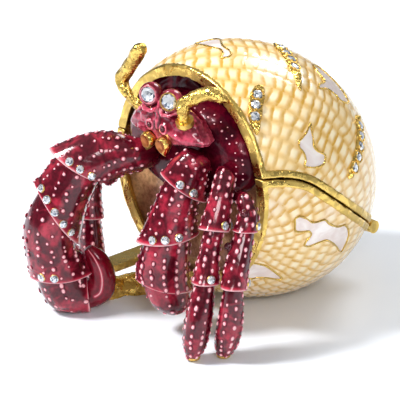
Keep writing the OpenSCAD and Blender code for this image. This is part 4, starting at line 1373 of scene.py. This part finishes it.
def chain(bm, points):
    """A soft ridge of overlapping balls through (x, y, z, radius) in millimetres."""
    for x, y, z, radius in stretches(points):
        add_ball(bm, Matrix.Translation(Vector((x, y, z)) * MM), radius * MM, 10, 8)


def both_sides(points):
    return [[(side * x, y, z, radius) for x, y, z, radius in points] for side in (-1, 1)]


# ridges of the face in millimetres: x, y, z and radius
BROW = ((0, -21.6, 43.4, 0.7), (0, -22.2, 41.6, 0.62), (0, -22.6, 40.2, 0.5), (0, -22.7, 38.8, 0.4))
LIDS = ((0.5, -22.2, 42.2, 0.45), (1.7, -22.9, 41.7, 0.42), (3.2, -22.8, 41.9, 0.45),
        (4.6, -21.8, 42.8, 0.4))
CHEEKS = ((2.7, -22.4, 38.6, 0.5), (4.6, -22.2, 38.1, 0.62), (6.8, -21.4, 37.6, 0.62),
          (8.9, -20.0, 37.2, 0.45))
BROW_ENDS = ((4.8, -21.6, 41.6, 0.5), (6.6, -21.0, 39.9, 0.5), (8.4, -20.2, 38.3, 0.4))
# nostrils in millimetres: x of each, y and height of both, and the ring's radius and thickness
NOSTRILS = (-1.96, 1.6)
NOSTRIL_Y, NOSTRIL_HEIGHT, NOSTRIL_RADIUS, NOSTRIL_RIDGE = -22.65, 39.0, 0.85, 0.3
# the bead in a nostril, in millimetres: radius, and how far in front of the ring its middle is
NOSTRIL_BEAD, BEAD_FORWARD = 0.52, 0.1
# hollow of a mouthpart as shares of the crab's size: height, and its x, reach and height
SCOOP_SHARE = 0.125
SCOOP_PLACE_SHARES = (0.064, 0.18, 1.122)
# the hollow's ball as shares of its height: how far forward and its radius, and what is added
SCOOP_FORWARD_SHARE, SCOOP_RADIUS_SHARE, SCOOP_EDGE = 0.66, 0.5, 0.12 * MM
ANTENNA_SWELL = 0.3 * MM


class BOX_OT_head(bpy.types.Operator):
    """The crab's face: head, eyes, mouthparts and antennae"""
    bl_idname = "box.head"
    bl_label = "Head"

    def mask(self):
        bm = cad_copy("head")
        for ridge in [BROW] + both_sides(LIDS) + both_sides(CHEEKS) + both_sides(BROW_ENDS):
            chain(bm, ridge)
        for x in NOSTRILS:
            turns = [2 * math.pi * i / 8 for i in range(9)]
            chain(bm, [(x + NOSTRIL_RADIUS * math.cos(turn), NOSTRIL_Y,
                        NOSTRIL_HEIGHT + NOSTRIL_RADIUS * math.sin(turn), NOSTRIL_RIDGE)
                       for turn in turns])
        bm = remeshed(bm, 0.17 * MM, 3)
        uneven(bm, 0.22 * MM, 330, 6.0)
        bm.normal_update()
        rim = bm.verts.layers.float.new("rim")
        for vert in bm.verts:
            bend = sum((edge.other_vert(vert).co - vert.co).normalized().dot(vert.normal)
                       for edge in vert.link_edges) / max(1, len(vert.link_edges))
            # above 0 on ridges, where the enamel runs pale, and below 0 in hollows, which get painted
            # shade
            vert[rim] = max(-0.6, min(0.7, -bend * 6))
        piece("head_enamel", bm, "base", "pink_enamel", "head", stands_for="head")

    def mouthparts(self):
        bm = remeshed(cad_copy("mouthparts"), 0.11 * MM, 2)
        rim = bm.verts.layers.float.new("rim")
        size = crab().limb
        height = SCOOP_SHARE * size
        x, reach, z = (share * size for share in SCOOP_PLACE_SHARES)
        radius = SCOOP_RADIUS_SHARE * height + SCOOP_EDGE
        for side in (-1, 1):
            hollow = Vector((side * x, CHEST_Y - reach - SCOOP_FORWARD_SHARE * height, z))
            for vert in bm.verts:
                if (vert.co - hollow).length < radius:
                    vert[rim] = 1.0
        piece("mouthparts_cast", bm, "base", "gold", "amber", stands_for="mouthparts")

    def execute(self, context):
        self.mask()
        bm = bmesh.new()
        for x in NOSTRILS:
            place = Vector((x, NOSTRIL_Y - BEAD_FORWARD, NOSTRIL_HEIGHT)) * MM
            add_ball(bm, Matrix.Translation(place), NOSTRIL_BEAD * MM, 24, 16)
        piece("nostril_beads", bm, "base", "pink_enamel", "garnet")
        for node in ("left_eye", "right_eye"):
            bm = remeshed(cad_copy(node), 0.15 * MM, 4)
            bm.transform(turned_eye(node))
            piece(node + "_enamel", bm, "base", "pink_enamel", "head", stands_for=node)
        self.mouthparts()
        for node in ("left_antenna", "right_antenna"):
            bm = remeshed(cad_copy(node), 0.14 * MM, 2)
            for vert in bm.verts:
                vert.co += vert.normal * ANTENNA_SWELL
            uneven(bm, 0.3 * MM, 300, 5.0)
            piece(node + "_cast", bm, "base", "gold", "rough_gold", stands_for=node)
        paint_node("antenna_collar", "bright_gold")
        return {"FINISHED"}


def make_limb(node):
    bm = limb_mesh(node)
    keep_above(bm, TOE_HEIGHT if node.endswith("foot") else 0.05 * MM)
    paint = "finger" if node == "right_claw_finger" else "limb"
    obj = piece(node + "_enamel", bm, "base", "maroon_enamel", paint, stands_for=node)
    modifier = obj.modifiers.new("subdivision", "SUBSURF")
    modifier.levels = modifier.render_levels = 2


class BOX_OT_claws(bpy.types.Operator):
    """Both claws, joint by joint"""
    bl_idname = "box.claws"
    bl_label = "Claws"

    def execute(self, context):
        for _, _, parts in (RIGHT_CLAW, LEFT_CLAW):
            for node in parts:
                make_limb(node)
        return {"FINISHED"}


# half width of the gold under a foot as a share of the crab's size, and its half height
TOE_SHARE = 0.043
TOE_HALF_HEIGHT = 1.1 * TOE_HEIGHT


class BOX_OT_legs(bpy.types.Operator):
    """The walking legs, joint by joint"""
    bl_idname = "box.legs"
    bl_label = "Legs"

    def execute(self, context):
        bm = bmesh.new()
        half = TOE_SHARE * crab().limb
        for node in LEGS:
            make_limb(node)
            if node.endswith("foot"):
                end, above = (ring_frame(row)[0] for row in stations(node)[:-3:-1])
                spot = end + (above - end) * 0.12
                spot.z = TOE_HALF_HEIGHT
                flat = Matrix.Diagonal((half, half, TOE_HALF_HEIGHT, 1))
                add_ball(bm, Matrix.Translation(spot) @ flat, 1.0, 16, 12)
        piece("gold_toes", bm, "base", "gold", "bright_gold")
        bm = bmesh.new()
        for node, share, angle, radius in GARNETS:
            rows = stations(node)
            place, out = limb_point(node, rows, share, angle), limb_normal(node, rows, share, angle)
            add_ball(bm, Matrix.Translation(place + out * radius * 0.4), radius, 20, 14)
            ring = lathe([(radius * 0.8, -0.2 * MM), (radius * 1.5, -0.2 * MM),
                          (radius * 1.35, radius * 0.25), (radius, radius * 0.35),
                          (radius * 0.8, -0.2 * MM)], 16)
            join(bm, ring, stand(place, out))
        piece("garnet_beads", bm, "base", "maroon_enamel", "garnet")
        return {"FINISHED"}


# how long the dots of the legs and the palms are for their width
LONG_DOTS = 1.35
# rows of dots on thin and on thick joints, and the half width from which a joint is thick
LANES, THICK_LANES, THICK = 8, 12, 3.2 * MM
# how far a dot wanders: along a joint as a share of its length, and round it in radians
DOT_WANDER_SHARE, DOT_TURN, LONG_DOT_TURN = 0.03, 0.11, 0.05


class BOX_OT_beads(bpy.types.Operator):
    """Rows of raised pale dots along the limbs"""
    bl_idname = "box.beads"
    bl_label = "Raised dots"

    def dot_joint(self, bm, node, stones, rolls):
        """Adds the dots of one joint, clear of its stones and of its bare toe."""
        rows = stations(node)
        centres = [ring_at(rows, i / 8)[0] for i in range(9)]
        length = sum((ahead - here).length for here, ahead in zip(centres, centres[1:]))
        steps = max(2, round(length / crab().bead_spacing))
        half = min(ring_frame(row)[2].length for row in rows[1:])
        lanes = THICK_LANES if half > THICK else LANES
        is_long = node in LEGS or "palm" in node
        shape = Matrix.Diagonal((LONG_DOTS if is_long else 1.0, 1, 1, 1))
        wander = LONG_DOT_TURN if is_long else DOT_TURN
        for lane in range(lanes):
            for step in range(steps):
                share = (step + 0.5 + 0.5 * (lane % 2)) / steps + rolls.uniform(
                    -DOT_WANDER_SHARE, DOT_WANDER_SHARE)
                turn = 2 * math.pi * lane / lanes + rolls.uniform(-1, 1) * wander
                if not 0.06 < share < 0.93:
                    continue
                place = limb_point(node, rows, share, turn)
                if place.z < TOE_HEIGHT or any(
                        (place - spot).length < 1.6 * radius for spot, _, radius in stones):
                    continue
                size = crab().bead * rolls.uniform(0.65, 1.25)
                out = limb_normal(node, rows, share, turn)
                ahead = limb_point(node, rows, share + 0.02, turn) - place
                join(bm, bead_mesh(size), stand(place, out, ahead) @ shape)

    def execute(self, context):
        stones = crystal_spots("claw_crystals", "leg_crystals")
        rolls = random.Random(7)
        for name, joints in (("right_claw_dots", RIGHT_CLAW[2]), ("left_claw_dots", LEFT_CLAW[2]),
                             ("leg_dots", LEGS)):
            bm = bmesh.new()
            for node in joints:
                if node != "right_claw_finger":
                    self.dot_joint(bm, node, stones, rolls)
            piece(name, bm, "base", "maroon_enamel", "bead")
        return {"FINISHED"}


class BOX_OT_brace(bpy.types.Operator):
    """The flat bar and the rocky plinth between the right claw and the shell"""
    bl_idname = "box.brace"
    bl_label = "Bar and plinth"

    def execute(self, context):
        bm = remeshed(cad_copy("plinth"), 0.25 * MM, 2)
        uneven(bm, 0.35 * MM, 330, 9.0)
        keep_above(bm, 0.0)
        piece("plinth_cast", bm, "base", "gold", "rough_gold", stands_for="plinth")
        paint_node("brace_bar", "gold")
        return {"FINISHED"}


# lights: name, place and width in metres, and power as a share of the key light's
LIGHTS = (("key", (-0.20, -0.32, 0.46), 0.13, 1.0), ("fill", (0.42, -0.30, 0.30), 0.2, 0.33),
          ("back", (-0.10, 0.42, 0.42), 0.26, 0.4))
LIGHT_TARGET = Vector((0, -4 * MM, 24 * MM))
# the photograph's view: turn from the front towards the crab's left, rise, distance and lens
VIEW_TURN, VIEW_RISE = math.radians(45), math.radians(21)
VIEW_CENTRE = Vector((0, 0, 25.02 * MM))
VIEW_DISTANCE = 420 * MM
VIEW_LENS = 199.2
# how far the camera aims to the left of the box's centre and below it
AIM_LEFT, AIM_DOWN = 8.571 * MM, 6.118 * MM
# half width of the floor, in metres
FLOOR_SIZE = 3.0


def look(name, data, place, target):
    """Puts a light or a camera at a place, turned to a target."""
    obj = bpy.data.objects.new(name, data)
    obj.location = place
    obj.rotation_euler = (target - obj.location).to_track_quat("-Z", "Y").to_euler()
    bpy.context.scene.collection.objects.link(obj)
    return obj


class BOX_OT_stage(bpy.types.Operator):
    """Pale floor, soft studio lights and the camera"""
    bl_idname = "box.stage"
    bl_label = "Stage"

    def floor(self, scene):
        bm = bmesh.new()
        bmesh.ops.create_grid(bm, x_segments=1, y_segments=1, size=FLOOR_SIZE)
        mesh = bpy.data.meshes.new("floor")
        bm.to_mesh(mesh)
        bm.free()
        floor = bpy.data.objects.new("floor", mesh)
        scene.collection.objects.link(floor)
        tree, shader, spot = new_paint("floor", "white_floor")
        color = blend(tree, cloud(tree, spot, 8.0, 2.0), (0.85, 0.89, 0.95, 1), (0.87, 0.91, 0.97, 1))
        feed(tree, shader, {"Base Color": color, "Roughness": 0.9, "Specular IOR Level": 0.1})
        mesh.materials.append(PAINTS["floor"])

    def sky(self, scene):
        scene.world = bpy.data.worlds.new("studio")
        scene.world.use_nodes = True
        tree = scene.world.node_tree
        direction = add(tree, "ShaderNodeTexCoord", {}).outputs["Generated"]
        band = ramp(tree, upward(tree, direction), 0.15, 0.75)
        feed(tree, tree.nodes["Background"], {
            "Color": blend(tree, band, (0.42, 0.45, 0.49, 1), (0.9, 0.95, 1, 1)),
            "Strength": scene.box_stage.sky})

    def camera(self, scene):
        back = Vector((math.sin(VIEW_TURN) * math.cos(VIEW_RISE),
                       -math.cos(VIEW_TURN) * math.cos(VIEW_RISE), math.sin(VIEW_RISE)))
        right = Vector((math.cos(VIEW_TURN), math.sin(VIEW_TURN), 0))
        aim = VIEW_CENTRE - right * AIM_LEFT - back.cross(right) * AIM_DOWN
        camera = bpy.data.cameras.new("camera")
        camera.sensor_width = 36
        camera.lens = VIEW_LENS
        camera.clip_start, camera.clip_end = 0.01, 10
        scene.camera = look("camera", camera, VIEW_CENTRE + back * VIEW_DISTANCE, aim)

    def execute(self, context):
        scene = context.scene
        self.floor(scene)
        self.sky(scene)
        for name, place, size, power in LIGHTS:
            light = bpy.data.lights.new(name, "AREA")
            light.shape = "DISK"
            light.size = size
            light.energy = power * scene.box_stage.key
            look(name, light, Vector(place), LIGHT_TARGET)
        self.camera(scene)
        scene.view_settings.view_transform = "Standard"
        return {"FINISHED"}


class BOX_PT_panel(bpy.types.Panel):
    """Lists the sizes, the colours and the steps that dress the box"""
    bl_label = "Trinket box"
    bl_idname = "BOX_PT_panel"
    bl_space_type = "VIEW_3D"
    bl_region_type = "UI"
    bl_category = "Trinket box"

    def draw(self, context):
        for group_name in GROUPS:
            settings = getattr(context.scene, group_name)
            column = self.layout.column()
            for name in settings.__annotations__:
                column.prop(settings, name)
        for operator in STEPS:
            self.layout.operator(operator.bl_idname)


STEPS = (
    BOX_OT_stage, BOX_OT_shells, BOX_OT_wires, BOX_OT_rims, BOX_OT_walls, BOX_OT_hinge,
    BOX_OT_settings, BOX_OT_crystals, BOX_OT_carapace, BOX_OT_head, BOX_OT_claws, BOX_OT_legs,
    BOX_OT_beads, BOX_OT_brace,
)
GROUPS = {"box_shell": ShellSizes, "box_crab": CrabSizes, "box_finishes": Finishes,
          "box_stage": StageSettings}


def register():
    for name, kind in GROUPS.items():
        bpy.utils.register_class(kind)
        setattr(bpy.types.Scene, name, PointerProperty(type=kind))
    for kind in STEPS + (BOX_PT_panel,):
        bpy.utils.register_class(kind)


def unregister():
    for kind in reversed(STEPS + (BOX_PT_panel,)):
        bpy.utils.unregister_class(kind)
    for name, kind in GROUPS.items():
        delattr(bpy.types.Scene, name)
        bpy.utils.unregister_class(kind)


def main():
    register()
    make_paints()
    for step in STEPS:
        group_name, operator = step.bl_idname.split(".")
        getattr(getattr(bpy.ops, group_name), operator)()


if __name__ == "__main__":
    main()
